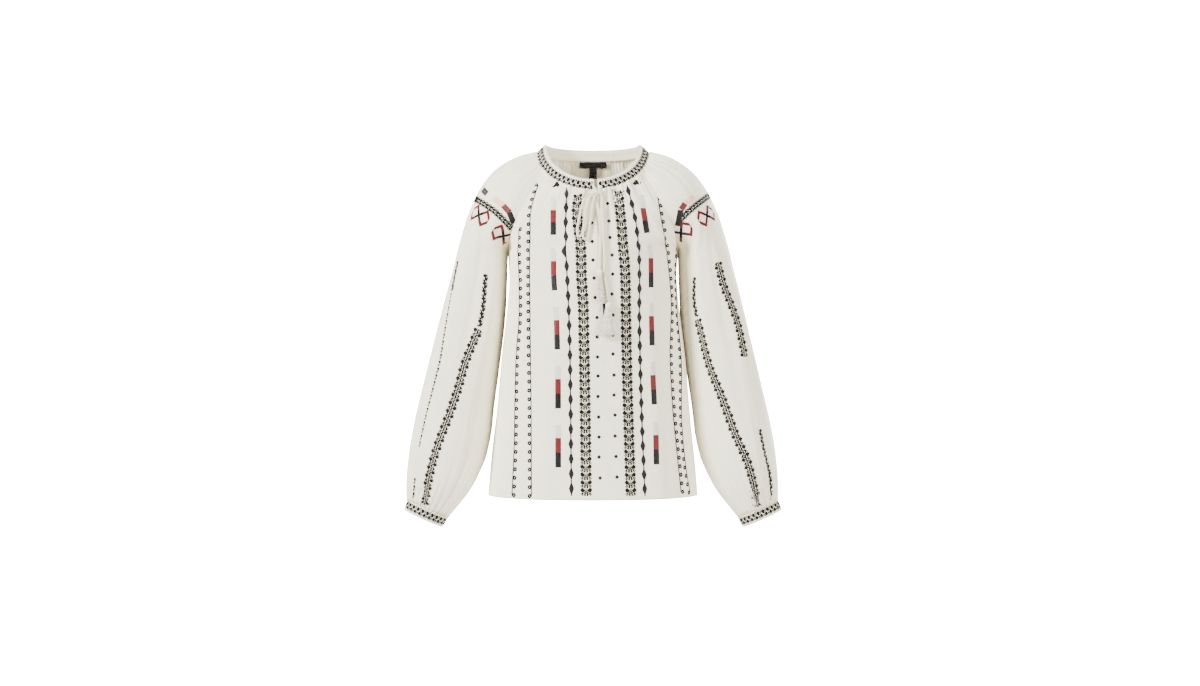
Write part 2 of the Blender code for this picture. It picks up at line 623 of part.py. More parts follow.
def add_cord(name, route, collection):
    spacing = SHORT_CORD_SPACING if "root" in name else CORD_POINT_SPACING
    points = smooth_route(cord_route(route), spacing)
    data = bpy.data.curves.new(name, "CURVE")
    data.dimensions = "3D"
    data.bevel_depth = CORD_DIAMETER / 2 * MM
    data.bevel_resolution = 2
    data.use_fill_caps = True
    spline = data.splines.new("POLY")
    spline.points.add(len(points) - 1)
    for point, place in zip(spline.points, points * MM):
        point.co = (*place, 1)
    spline.use_smooth = True
    return add_object(name, data, "cord", collection)


def add_knot(collection):
    """A small flat knot: a ball squeezed against the cloth, with a waist where a turn goes round it."""
    mesh = bpy.data.meshes.new("tie_knot")
    form = bmesh.new()
    bmesh.ops.create_uvsphere(form, u_segments=12, v_segments=8, radius=1)
    for vertex in form.verts:
        waist = 1 - KNOT_WAIST * math.exp(-((vertex.co.x / KNOT_WAIST_WIDTH) ** 2))
        vertex.co.x *= KNOT["half_width"] * MM
        vertex.co.y *= KNOT["half_depth"] * waist * MM
        vertex.co.z *= KNOT["half_height"] * waist * MM
    form.to_mesh(mesh)
    form.free()
    mesh.shade_smooth()
    knot = add_object("tie_knot", mesh, "cord", collection)
    knot.location = knot_centre() * MM


def add_ring(form, radius, height):
    turns = [2 * math.pi * i / STRAND_SIDES for i in range(STRAND_SIDES)]
    return [form.verts.new((radius * math.cos(turn), radius * math.sin(turn), height)) for turn in turns]


def add_tassel(name, place, collection):
    """A turned head with a bound neck, whose lower faces are drawn out into strands."""
    form = bmesh.new()
    rings = [add_ring(form, share * TASSEL_HEAD_RADIUS, height) for share, height in TASSEL_PROFILE]
    foot = TASSEL_PROFILE[-1][1]
    form.faces.new(rings[0])
    for upper, lower in zip(rings, rings[1:]):
        for i in range(STRAND_SIDES):
            j = (i + 1) % STRAND_SIDES
            form.faces.new((upper[j], upper[i], lower[i], lower[j]))
    centre = form.verts.new((0, 0, foot))
    for i in range(STRAND_SIDES):
        form.faces.new((centre, rings[-1][(i + 1) % STRAND_SIDES], rings[-1][i]))
    bmesh.ops.recalc_face_normals(form, faces=form.faces)
    strands = [face for face in form.faces if face.calc_center_median().z < foot + 0.01]
    bmesh.ops.inset_individual(form, faces=strands, thickness=STRAND_PARTING)
    step = TASSEL_SKIRT / len(STRAND_SPREAD)
    widest = place["half_width"] / (TASSEL_OUTER_STRAND * TASSEL_HEAD_RADIUS)
    before = 1.0
    for share in STRAND_SPREAD:
        strands = bmesh.ops.extrude_discrete_faces(form, faces=strands)["faces"]
        now = 1 + (widest - 1) * share
        for number, face in enumerate(strands):
            middle = face.calc_center_median()
            drop = step * (1 + STRAND_UNEVEN * math.sin(3.1 * number))
            shift = (middle.x * (now / before - 1), 0, -drop)
            bmesh.ops.translate(form, verts=face.verts, vec=shift)
        before = now
    for vertex in form.verts:
        vertex.co.x -= place["lean"] * vertex.co.z
        vertex.co.y *= TASSEL_FLATNESS
    bmesh.ops.scale(form, verts=form.verts, vec=(MM, MM, MM))
    mesh = bpy.data.meshes.new(name)
    form.to_mesh(mesh)
    form.free()
    mesh.shade_smooth()
    mesh.set_sharp_from_angle(angle=math.radians(40))
    tassel = add_object(name, mesh, "cord", collection)
    depth = float(front_face_y(place["x"], place["z"])) - TASSEL_HEAD_RADIUS * TASSEL_FLATNESS - TASSEL_OUT
    tassel.location = np.array([place["x"], depth, place["z"]]) * MM


def add_label(name, label, collection):
    """A label just inside the back panel, under the neckband."""
    places = np.linspace(-label["across"], label["across"], label["columns"] + 1)
    across, row = np.meshgrid(places, np.linspace(label["top"], label["bottom"], 4))
    points = body_surface(across, row, 1)
    normals = grid_normals(points, -1)
    index = np.arange(across.size).reshape(across.shape)
    lift = CLOTH + BACK_NECK_GATHER * 1.3 + SEAM_GAP
    outer = (points - lift * normals).reshape(-1, 3)
    inner = outer - LABEL_CLOTH * normals.reshape(-1, 3)
    wall(name, outer, inner, grid_faces(index), "label", collection, flip=True)


def main():
    for old in list(bpy.data.objects):
        bpy.data.objects.remove(old)
    collection = bpy.data.collections.new("embroidered_blouse")
    bpy.context.scene.collection.children.link(collection)

    front, back, sleeve = front_points(), back_points(), sleeve_points()
    normals = seat_seams(front, back, sleeve)
    add_front(front, normals["front"], collection)
    add_back(back, normals["back"], collection)
    add_sleeve("sleeve_right", sleeve, normals["sleeve"], collection, left=False)
    add_sleeve("sleeve_left", sleeve, normals["sleeve"], collection, left=True)
    add_neckband(collection)
    add_neck_picots(collection)
    for side in ("left", "right"):
        add_cuff(side, collection)
    for name, label in LABELS.items():
        add_label(name, label, collection)
    add_knot(collection)
    for name, route in CORDS.items():
        add_cord(name, route, collection)
    add_tassel("tassel_left", TASSEL_LEFT, collection)
    add_tassel("tassel_right", TASSEL_RIGHT, collection)


main()
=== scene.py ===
"""Looks of the embroidered blouse: gauze cloth, stitched motifs, picot edges, ties and tassels.

Sizes are in millimetres until a mesh is made. +Z is up, the front faces -Y and +X is the picture's right.
"""

import math

import bpy
import numpy as np
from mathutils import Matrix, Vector
from mathutils.bvhtree import BVHTree


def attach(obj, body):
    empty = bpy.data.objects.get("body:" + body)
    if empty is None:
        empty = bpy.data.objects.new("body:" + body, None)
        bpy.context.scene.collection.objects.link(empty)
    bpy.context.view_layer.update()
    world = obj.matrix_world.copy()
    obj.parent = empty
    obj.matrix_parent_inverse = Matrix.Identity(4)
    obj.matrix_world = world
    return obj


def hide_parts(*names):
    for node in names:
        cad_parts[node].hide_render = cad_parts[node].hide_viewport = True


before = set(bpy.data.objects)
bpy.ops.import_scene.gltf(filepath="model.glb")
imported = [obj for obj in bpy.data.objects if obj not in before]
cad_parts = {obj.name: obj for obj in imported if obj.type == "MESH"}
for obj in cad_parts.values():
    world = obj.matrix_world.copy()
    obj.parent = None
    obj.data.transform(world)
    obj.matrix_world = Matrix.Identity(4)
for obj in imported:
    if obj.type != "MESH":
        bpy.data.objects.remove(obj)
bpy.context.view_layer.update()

MM = 0.001
UP = np.array([0.0, 0.0, 1.0])
FORWARD = np.array([0.0, -1.0, 0.0])

# The camera stands level, well in front of the blouse. The picture is 1200 x 686 pixels.
CAMERA_AT = np.array([13.0, -4000.0, -350.0])
PICTURE_WIDTH, PICTURE_MIDDLE = 1200, (600.0, 343.0)
MM_PER_PIXEL = 1.841
SENSOR_WIDTH = 36.0

# The form of the blouse, as in its solids.
NECK_HALF_WIDTH = 103.0
NECK_FRONT, NECK_BACK = 92.0, 62.0
NECK_DROP_FRONT, NECK_DROP_BACK = 74.0, 9.5
BAND_TOP_HALF_WIDTH = 88.0
BAND_TOP_FRONT, BAND_TOP_BACK = 87.0, 56.0
BAND_RISE, BAND_RISE_SIDE = 17.0, 14.5
RAGLAN_FRONT, RAGLAN_BACK = math.radians(62), math.radians(120)
SLIT_X_TOP, SLIT_X_BOTTOM = 6.0, 9.0
SLIT_HALF_TOP, SLIT_HALF_MIDDLE, SLIT_HALF_BAND = 1.0, 2.8, 3.4
SLIT_END_ROW, SLIT_SPREAD, STRAIGHT_ROW = 0.91, 5.0, 1.6
SLEEVE = {
    "row":        (0.0, 0.24, 0.5, 0.78, 0.91, 1.0, 1.15, 1.32, 1.5, 1.68, 1.82, 1.91, 1.96, 2.0),
    "ridge_x":    (103, 143, 184, 217, 233, 246, 258, 274, 292, 312, 329, 337, 340, 339),
    "ridge_z":    (0, -11, -38, -86, -124, -167, -213, -270, -340, -423, -500, -556, -601, -639),
    "middle_x":   (91.5, 108, 129, 147, 153, 156, 158, 161, 169, 181, 191, 206, 230, 268),
    "middle_z":   (-19, -56, -101, -145, -167, -187, -236, -300, -372, -460, -534, -580, -624, -671),
    "middle_y":   (-6, -1, 0, 0, 0, 0, 0, 0, -1, -3, -6, -8, -10, -11),
    "half_depth": (42, 64, 76, 68, 64, 62, 63, 65, 67, 69, 68, 62, 49, 28),
    "half_angle": (62, 81, 96, 119, 143, 180, 180, 180, 180, 180, 180, 180, 180, 180),
    "lean":       (0.41, 0.16, 0.07, 0.02, 0.0, 0.0, 0.0, 0.0, 0.0, 0.0, 0.0, 0.0, 0.0, 0.0),
}
RIDGE_BACK, RIDGE_BACK_ROWS = 6.0, 0.4
NECK_FIT_ROWS = 0.5
SIDE = {
    "row":    (1.0, 1.15, 1.32, 1.5, 1.68, 1.85, 2.0),
    "side_x": (156, 154, 157, 165, 175, 186, 193),
    "side_z": (-187, -236, -305, -382, -462, -552, -628),
}
CENTRE = {
    "row":     (0.0, 0.24, 0.5, 0.78, 1.0, 1.15, 1.32, 1.5, 1.68, 1.85, 2.0),
    "front_y": (-92, -97, -104, -111, -115, -116, -113, -111, -112, -116, -119),
    "front_z": (-74, -93, -117, -152, -187, -237, -307, -385, -465, -555, -632),
    "back_y":  (62, 75, 90, 99.5, 104, 105, 103.5, 103, 107, 112.5, 117),
    "back_z":  (-9.5, -42, -84, -140, -186, -236, -306, -384, -464, -554, -630),
}
SECTION_SQUARENESS = {"row": (0.0, 1.0, 2.0), "power": (1.0, 0.9, 0.88)}
CUFF_HEIGHT = 16.0

# Cloth thickness and the fineness of each panel: rows above and below the underarm, and columns.
CLOTH = 0.8
FRONT_GRID = {"upper": 90, "lower": 160, "columns": 170}
BACK_GRID = {"upper": 80, "lower": 120, "columns": 150}
SLEEVE_GRID = {"upper": 80, "lower": 140, "columns": 156}
SEAM_HOLD_POWER, UNDERARM_HOLD = 6, 0.6
SEAM_DIP, SEAM_DIP_WIDTH, SEAM_DIP_END_ROW = 0.7, 2.2, 1.02

# Long soft folds: place across the panel (-1 to 1) at the start, how far it drifts, rows where each
# starts, peaks and ends, half width across, and height (a negative one is a trough).
FOLD_COLUMNS = ("across", "drift", "start", "peak", "end", "width", "height")
FRONT_FOLDS = (
    (-0.72, 0.00, 0.2, 0.9, 1.9, 0.09, 4.5),
    (-0.86, 0.01, 0.7, 1.4, 2.3, 0.06, -3.0),
    (0.70, 0.02, 0.3, 1.05, 1.75, 0.055, 5.0),
    (0.80, 0.01, 0.5, 1.1, 1.9, 0.05, -4.0),
    (-0.45, 0.01, 0.9, 1.7, 2.4, 0.10, -3.5),
    (-0.28, 0.01, 1.2, 1.9, 2.6, 0.07, 3.0),
    (0.42, -0.01, 1.0, 1.8, 2.4, 0.09, 3.5),
    (0.56, 0.00, 1.2, 1.9, 2.6, 0.06, -3.0),
    (0.0, 0.00, 1.1, 1.8, 2.4, 0.12, -2.5),
    (-0.84, 0.00, 0.95, 1.45, 1.95, 0.075, 13.0),
    (0.84, 0.00, 0.95, 1.45, 1.95, 0.075, 13.0),
)
BACK_FOLDS = (
    (-0.84, 0.00, 0.95, 1.45, 1.95, 0.075, 11.0),
    (0.84, 0.00, 0.95, 1.45, 1.95, 0.075, 11.0),
    (-0.78, 0.01, 0.3, 1.0, 2.0, 0.06, 4.5),
    (-0.6, 0.00, 0.3, 1.2, 2.3, 0.09, -4.0),
    (-0.38, -0.02, 0.8, 1.6, 2.5, 0.07, 4.0),
    (-0.15, 0.01, 0.6, 1.5, 2.4, 0.10, -4.0),
    (0.08, 0.02, 0.9, 1.8, 2.6, 0.07, 3.5),
    (0.3, 0.00, 0.4, 1.4, 2.4, 0.09, 4.0),
    (0.52, -0.01, 0.7, 1.5, 2.4, 0.07, -4.0),
    (0.75, -0.02, 0.5, 1.3, 2.2, 0.08, 4.5),
)
SLEEVE_FOLDS = (
    (-0.62, 0.03, 0.45, 1.2, 1.97, 0.06, 4.5),
    (-0.42, 0.02, 0.6, 1.4, 1.99, 0.055, -4.0),
    (-0.2, 0.01, 0.8, 1.6, 2.0, 0.07, 4.5),
    (0.05, 0.00, 1.0, 1.75, 2.05, 0.06, -4.0),
    (0.25, -0.01, 0.7, 1.5, 1.98, 0.06, 4.5),
    (0.48, 0.00, 0.5, 1.3, 2.0, 0.06, -4.0),
    (0.66, -0.02, 0.5, 1.4, 1.95, 0.07, 4.5),
    (0.9, 0.0, 1.1, 1.6, 2.0, 0.06, 4.0),
)


def curve_of(table, column, at):
    """The column's value at each row asked for, on a smooth curve through the table."""
    rows = np.asarray(table["row"], float)
    values = np.asarray(table[column], float)
    at = np.atleast_1d(np.asarray(at, float))
    slopes = np.gradient(values, rows)
    i = np.clip(np.searchsorted(rows, at, side="right") - 1, 0, len(rows) - 2)
    step = rows[i + 1] - rows[i]
    t = (at - rows[i]) / step
    near = (1 + 2 * t) * (1 - t) ** 2 * values[i] + t * (1 - t) ** 2 * step * slopes[i]
    far = t**2 * (3 - 2 * t) * values[i + 1] - t**2 * (1 - t) * step * slopes[i + 1]
    return near + far


def smoothstep(low, high, value):
    t = np.clip((value - low) / (high - low), 0, 1)
    return t * t * (3 - 2 * t)


def unit(vectors):
    return vectors / np.linalg.norm(vectors, axis=-1, keepdims=True)


def dot(a, b):
    return np.sum(a * b, axis=-1)


def grid_normals(points, sign):
    """Outward normals of a grid of points. Sign is 1 where across x down points inwards, else -1."""
    down = np.gradient(points, axis=0)
    across = np.gradient(points, axis=1)
    return unit(np.cross(down, across) * sign)


def oval(angle, half_width, front, back, drop_front, drop_back):
    """Points of an oval seen from above, whose height follows its depth. Angle 0 is the centre front."""
    angle = np.asarray(angle, float)
    facing = np.cos(angle)
    depth = np.where(facing > 0, -front * facing, -back * facing)
    height = np.where(facing > 0, -drop_front * facing, drop_back * facing)
    return np.stack([half_width * np.sin(angle), depth, height], axis=-1)


def neckline(angle):
    return oval(angle, NECK_HALF_WIDTH, NECK_FRONT, NECK_BACK, NECK_DROP_FRONT, NECK_DROP_BACK)


def band_top(angle):
    top = oval(angle, BAND_TOP_HALF_WIDTH, BAND_TOP_FRONT, BAND_TOP_BACK, NECK_DROP_FRONT, NECK_DROP_BACK)
    top[..., 2] += BAND_RISE_SIDE + (BAND_RISE - BAND_RISE_SIDE) * np.abs(np.cos(angle))
    return top


def sleeve_section(value, across, half_angle, ridge_y):
    """An arc over the arm from the front seam (across -1) to the back seam (1)."""
    turn = across * half_angle
    middle = np.stack([value["middle_x"], value["middle_y"], value["middle_z"]], axis=-1)
    ridge = np.stack([value["ridge_x"], ridge_y, value["ridge_z"]], axis=-1)
    reach = (ridge - middle) / (1 - np.cos(half_angle))[..., None]
    depth = value["half_depth"]
    side = np.stack([np.zeros_like(depth), depth, depth * value["lean"]], axis=-1)
    return ridge + reach * (np.cos(turn) - 1)[..., None] + side * np.sin(turn)[..., None]


def sleeve_surface(across, row):
    """The right sleeve, with its first rows fitted to the neckline."""
    across, row = np.broadcast_arrays(np.asarray(across, float), np.asarray(row, float))
    names = [name for name in SLEEVE if name != "row"]
    value = {name: curve_of(SLEEVE, name, row) for name in names}
    half_angle = np.radians(np.where(row >= 1, 180, value["half_angle"]))
    ridge_y = value["middle_y"] + RIDGE_BACK * np.clip(1 - row / RIDGE_BACK_ROWS, 0, 1)
    points = sleeve_section(value, across, half_angle, ridge_y)
    first = {name: np.full(across.shape, float(SLEEVE[name][0])) for name in names}
    start = sleeve_section(first, across, np.radians(first["half_angle"]), first["middle_y"] + RIDGE_BACK)
    edge = neckline(RAGLAN_FRONT + (across + 1) / 2 * (RAGLAN_BACK - RAGLAN_FRONT))
    return points + (edge - start) * (np.clip(1 - row / NECK_FIT_ROWS, 0, 1) ** 2)[..., None]


def seam_point(row, facing):
    """The right raglan seam down to the underarm, then the side seam. Facing is -1 in front, 1 behind."""
    row = np.asarray(row, float)
    upper = sleeve_surface(np.full(row.shape, float(facing)), np.minimum(row, 1.0))
    side_x = curve_of(SIDE, "side_x", np.maximum(row, 1.0)).reshape(row.shape)
    side_z = curve_of(SIDE, "side_z", np.maximum(row, 1.0)).reshape(row.shape)
    lower = np.stack([side_x, np.zeros_like(side_x), side_z], axis=-1)
    return np.where((row < 1)[..., None], upper, lower)


def body_section(row, facing):
    """A row's arc about the body's middle: half angle, power, seam point, centre depth and height."""
    power = curve_of(SECTION_SQUARENESS, "power", row).reshape(row.shape)
    seam = seam_point(row, facing)
    name = "front" if facing < 0 else "back"
    centre_y = curve_of(CENTRE, name + "_y", row).reshape(row.shape)
    centre_z = curve_of(CENTRE, name + "_z", row).reshape(row.shape)
    seam_share = np.clip(seam[..., 1] / centre_y, 0, 1)
    return np.arccos(seam_share ** (1 / power)), power, seam, centre_y, centre_z


def body_surface(across, row, facing):
    """The front (facing -1) or back (facing 1) panel. Across runs from the left seam (-1) to 1."""
    half_angle, power, seam, centre_y, centre_z = body_section(row, facing)
    turn = across * half_angle
    x = seam[..., 0] * np.sign(across) * np.abs(np.sin(turn) / np.sin(half_angle)) ** power
    y = centre_y * np.abs(np.cos(turn)) ** power
    toward = (y - seam[..., 1]) / (centre_y - seam[..., 1])
    return np.stack([x, y, seam[..., 2] + (centre_z - seam[..., 2]) * toward], axis=-1)


def folds_at(folds, across, row):
    """How far the long folds move the cloth out, at each place."""
    moved = np.zeros(np.broadcast(across, row).shape)
    for fold in folds:
        fold = dict(zip(FOLD_COLUMNS, fold))
        rise = smoothstep(fold["start"], fold["peak"], row)
        fall = 1 - smoothstep(fold["peak"], fold["end"], row)
        line = fold["across"] + fold["drift"] * (row - fold["start"])
        bell = np.exp(-(((across - line) / fold["width"]) ** 2))
        moved = moved + fold["height"] * bell * rise * fall
    return moved


# Pleats below the neckband: how many, how far they reach to each side of a panel (1 is its seam), height,
# length in rows, and the seed of their unevenness.
FRONT_PLEATS = ((26, 0.97, 2.5, 0.5, 11), (9, 0.9, 3.8, 0.85, 12))
BACK_PLEATS = ((34, 0.97, 1.7, 0.36, 21), (8, 0.9, 3.0, 1.0, 22))
SLEEVE_PLEATS = (13, 0.95, 3.0, 0.5)
PLEAT_FADE = 1.4


def neck_pleats(across, row, count, span, height, length, seed):
    """Uneven pleats that run down from the neckband, spread evenly enough over a panel's neck edge."""
    rng = np.random.default_rng(seed)
    step = 2 * span / count
    places = -span + step * (np.arange(count) + 0.5) + step * rng.uniform(-0.22, 0.22, count)
    widths = step * rng.uniform(0.26, 0.36, count)
    heights = height * rng.uniform(0.55, 1.2, count)
    lengths = length * rng.uniform(0.5, 1.5, count)
    moved = np.zeros(across.shape)
    for place, width, tall, long in zip(places, widths, heights, lengths):
        fade = np.exp(-((row / long) ** PLEAT_FADE))
        moved = moved + tall * np.exp(-(((across - place) / width) ** 2)) * fade
    return moved


CRINKLE_WAVES, CRINKLE_HEIGHT = 14, 3.2
FRONT_CRINKLE_SEED, BACK_CRINKLE_SEED = 13, 23


def crinkle(across, row, seed):
    """A faint unevenness of the cloth: a few long waves whose directions are drawn once."""
    rng = np.random.default_rng(seed)
    moved = np.zeros(across.shape)
    for _ in range(CRINKLE_WAVES):
        along, down = rng.uniform(3, 16), rng.uniform(-7, 7)
        phase = rng.uniform(0, 2 * math.pi)
        moved = moved + np.sin(along * across + down * row + phase) / along
    return moved


def plain_index(cloth):
    rows, columns = cloth.points.shape[:2]
    return np.arange(rows * columns).reshape(rows, columns)


def closed_index(cloth, from_row=0):
    """The numbers of a cloth's points, whose last column is its first one from a row down."""
    index = plain_index(cloth)
    index[from_row:, -1] = index[from_row:, 0]
    return index


def quads_of(grid):
    """The corners of each cell of a grid of point numbers, taken down before across."""
    return np.stack([grid[:-1, :-1], grid[1:, :-1], grid[1:, 1:], grid[:-1, 1:]], axis=-1).reshape(-1, 4)


def cell_corners(grid, i, j):
    """The values at the corners of some cells of a grid, taken across before down."""
    return np.stack([grid[i, j], grid[i, j + 1], grid[i + 1, j + 1], grid[i + 1, j]], axis=1)


# How far from a grid's end a place stays, in rows or columns, so that there is always a next one.
LAST_CELL = 1.001


class Cloth:
    """A panel's outer face: a fine grid of points, down its rows and across its columns."""

    def __init__(self, points, sign, closed=False):
        self.points = points
        self.closed = closed
        self.normals = grid_normals(points, sign)
        if closed:
            wrapped = np.concatenate([points[:, -3:-1], points, points[:, 1:3]], axis=1)
            self.normals = grid_normals(wrapped, sign)[:, 2:-2]
        self.tree = None

    def blend(self, values, place):
        """Values of the grid at a place (row, column), which may lie between its points."""
        rows, columns = values.shape[:2]
        row = np.clip(place[..., 0], 0, rows - LAST_CELL)
        column = np.clip(place[..., 1], 0, columns - LAST_CELL)
        if self.closed:
            column = place[..., 1] % (columns - 1)
        r, c = row.astype(int), column.astype(int)
        fr, fc = (row - r)[..., None], (column - c)[..., None]
        top = values[r, c] * (1 - fc) + values[r, c + 1] * fc
        foot = values[r + 1, c] * (1 - fc) + values[r + 1, c + 1] * fc
        return top * (1 - fr) + foot * fr

    def at(self, place):
        return self.blend(self.points, place)

    def normal(self, place):
        return unit(self.blend(self.normals, place))

    def step(self, place, move):
        """The place reached by a short move along the cloth."""
        half = np.array([0.5, 0.0])
        side = half[::-1]
        down = self.at(place + half) - self.at(place - half)
        across = self.at(place + side) - self.at(place - side)
        dd, da, aa = dot(down, down), dot(down, across), dot(across, across)
        md, ma = dot(move, down), dot(move, across)
        area = np.maximum(dd * aa - da * da, 1e-9)
        return place + np.stack([(md * aa - ma * da) / area, (ma * dd - md * da) / area], axis=-1)

    def reach(self, place, move, tries=3):
        """The place whose point is nearest to where the move ends."""
        goal = self.at(place) + move
        limits = np.array(self.points.shape[:2]) - LAST_CELL
        lowest = np.array([0.0, -np.inf if self.closed else 0.0])
        highest = np.array([limits[0], np.inf if self.closed else limits[1]])
        for _ in range(tries):
            place = np.clip(self.step(place, goal - self.at(place)), lowest, highest)
        return place

    def ray(self, start, aim):
        """Where a ray first meets the cloth, and the number of the face that it meets."""
        if self.tree is None:
            points = self.points.reshape(-1, 3).tolist()
            self.tree = BVHTree.FromPolygons(points, quads_of(plain_index(self)).tolist())
        hit, _, face, _ = self.tree.ray_cast(np.asarray(start).tolist(), unit(np.asarray(aim)).tolist())
        return hit, face

    def nearest_depth(self, x, z, reach=6.0):
        """The foremost y of the cloth round a place seen from in front, or 0 where there is none."""
        around = [(x + dx, z + dz) for dx in (-reach, 0, reach) for dz in (-reach, 0, reach)]
        hits = [self.ray((near_x, CAMERA_AT[1], near_z), -FORWARD)[0] for near_x, near_z in around]
        return min((hit[1] for hit in hits if hit is not None), default=0.0)

    def place_seen(self, pixel, camera):
        """The place that a camera sees at a pixel of the picture, or None where it sees none."""
        hit, face = self.ray(camera, picture_point(pixel) - camera)
        if hit is None:
            return None
        columns = self.points.shape[1] - 1
        place = np.array([face // columns + 0.5, face % columns + 0.5])
        return self.reach(place, np.array(hit) - self.at(place))


def picture_point(pixel):
    """A pixel of the picture as a point on the upright plane through the origin."""
    x = CAMERA_AT[0] + (pixel[0] - PICTURE_MIDDLE[0]) * MM_PER_PIXEL
    z = CAMERA_AT[2] - (pixel[1] - PICTURE_MIDDLE[1]) * MM_PER_PIXEL
    return np.array([x, 0.0, z])


def grid_places(grid):
    rows = np.concatenate([np.linspace(0, 1, grid["upper"] + 1), np.linspace(1, 2, grid["lower"] + 1)[1:]])
    return np.meshgrid(np.linspace(-1, 1, grid["columns"] + 1), rows)


def seam_hold(across):
    """Share of a fold's height at each place across a panel: none at its seams."""
    return 1 - np.abs(across) ** SEAM_HOLD_POWER


def seam_dip(points, across):
    """Dips a panel towards its seams, as cloth that is drawn in by the stitching."""
    width = np.linalg.norm(np.diff(points, axis=1), axis=-1).sum(axis=1)[:, None]
    away = (1 - np.abs(across)) / 2 * width
    return -SEAM_DIP * np.exp(-((away / SEAM_DIP_WIDTH) ** 2))


def soft_lift(across, row, folds, pleats, seed, shift=0.0):
    """How far the long folds, the pleats below the neckband and the crinkle move a panel out."""
    lift = folds_at(folds, across + shift, row)
    for pleat in pleats:
        lift = lift + neck_pleats(across, row, *pleat)
    return lift + CRINKLE_HEIGHT * crinkle(across, row, seed)


def front_cloth():
    across, row = grid_places(FRONT_GRID)
    slit_x = SLIT_X_TOP + (SLIT_X_BOTTOM - SLIT_X_TOP) * np.clip(row, 0, 1)
    shift = slit_x / seam_point(row, -1)[..., 0] * (1 - smoothstep(1, STRAIGHT_ROW, row))
    place = across + shift * (1 - across**2) ** 2
    points = body_surface(place, row, -1)
    lift = soft_lift(across, row, FRONT_FOLDS, FRONT_PLEATS, FRONT_CRINKLE_SEED)
    lift = lift * seam_hold(across) + seam_dip(points, across)
    return Cloth(points + lift[..., None] * grid_normals(points, 1), 1)


def back_cloth():
    across, row = grid_places(BACK_GRID)
    points = body_surface(across, row, 1)
    lift = soft_lift(across, row, BACK_FOLDS, BACK_PLEATS, BACK_CRINKLE_SEED)
    lift = lift * seam_hold(across) + seam_dip(points, across)
    return Cloth(points + lift[..., None] * grid_normals(points, -1), -1)


def sleeve_cloth(side, seed):
    """The right sleeve. Below the underarm its first and last columns meet."""
    across, row = grid_places(SLEEVE_GRID)
    points = sleeve_surface(across, row)
    lift = soft_lift(across, row, SLEEVE_FOLDS, [(*SLEEVE_PLEATS, seed)], seed + 1, SLEEVE_SHIFT[side])
    below = 1 - UNDERARM_HOLD * np.abs(across) ** SEAM_HOLD_POWER
    lift = lift * np.where(row < 1, seam_hold(across), below)
    lift = lift + np.where(row < SEAM_DIP_END_ROW, seam_dip(points, across), 0)
    lift = lift + cuff_gathers(across, row, seed + 2)
    moved = points + lift[..., None] * grid_normals(points, 1)
    upper = SLEEVE_GRID["upper"]
    moved[upper:, -1] = moved[upper:, 0]
    return Cloth(moved, 1)


CUFF_PLEATS, CUFF_PLEAT_HEIGHT = 30, 3.4
CUFF_PLEAT_WIDTH, CUFF_PLEAT_SPREAD = 0.4, 0.42
CUFF_PLEAT_LENGTHS, CUFF_PLEAT_CHANCES = (0.05, 0.09, 0.16), (0.4, 0.35, 0.25)
CUFF_DRAWN_IN, CUFF_DRAWN_ROWS = 1.4, 0.07


def cuff_gathers(across, row, seed):
    """Folds that fan out from the cuff, uneven in height and length, and the cloth drawn in above it."""
    rng = np.random.default_rng(seed)
    moved = np.zeros(across.shape)
    for i in range(CUFF_PLEATS):
        place = -1 + (2 * i + 1 + rng.uniform(-0.2, 0.2)) / CUFF_PLEATS
        length = rng.choice(CUFF_PLEAT_LENGTHS, p=CUFF_PLEAT_CHANCES) * rng.uniform(0.8, 1.3)
        height = CUFF_PLEAT_HEIGHT * rng.uniform(0.6, 1.1)
        away = (across - place + 1) % 2 - 1
        width = CUFF_PLEAT_WIDTH / CUFF_PLEATS * (1 + CUFF_PLEAT_SPREAD * (2 - row) / length)
        moved = moved + height * np.exp(-((away / width) ** 2)) * np.exp((row - 2) / length)
    return moved - CUFF_DRAWN_IN * np.exp((row - 2) / CUFF_DRAWN_ROWS)


def new_object(name, verts, faces, uvs=None, materials=(), material_index=None):
    """A mesh object with its points given in millimetres, and a UV for each face corner in metres."""
    mesh = bpy.data.meshes.new(name)
    mesh.from_pydata((np.asarray(verts) * MM).tolist(), [], faces)
    for material in materials:
        mesh.materials.append(material)
    if material_index is not None:
        mesh.polygons.foreach_set("material_index", np.asarray(material_index, dtype=np.int32))
    if uvs is not None:
        layer = mesh.uv_layers.new(name="UVMap")
        layer.data.foreach_set("uv", np.asarray(uvs, dtype=np.float32).reshape(-1))
    mesh.shade_smooth()
    piece = bpy.data.objects.new(name, mesh)
    bpy.context.scene.collection.objects.link(piece)
    return piece


def mirrored_x(points):
    return points * np.array([-1.0, 1.0, 1.0])


def flat_places(points):
    """Each grid point's place on the flat cloth, in metres: across from the middle column, and down."""
    across = np.linalg.norm(np.diff(points, axis=1), axis=-1)
    down = np.linalg.norm(np.diff(points, axis=0), axis=-1)
    u = np.concatenate([np.zeros((len(points), 1)), np.cumsum(across, axis=1)], axis=1)
    u = u - u[:, points.shape[1] // 2][:, None]
    v = np.concatenate([np.zeros((1, points.shape[1])), np.cumsum(down, axis=0)], axis=0)
    return np.stack([u, -v], axis=-1) * MM


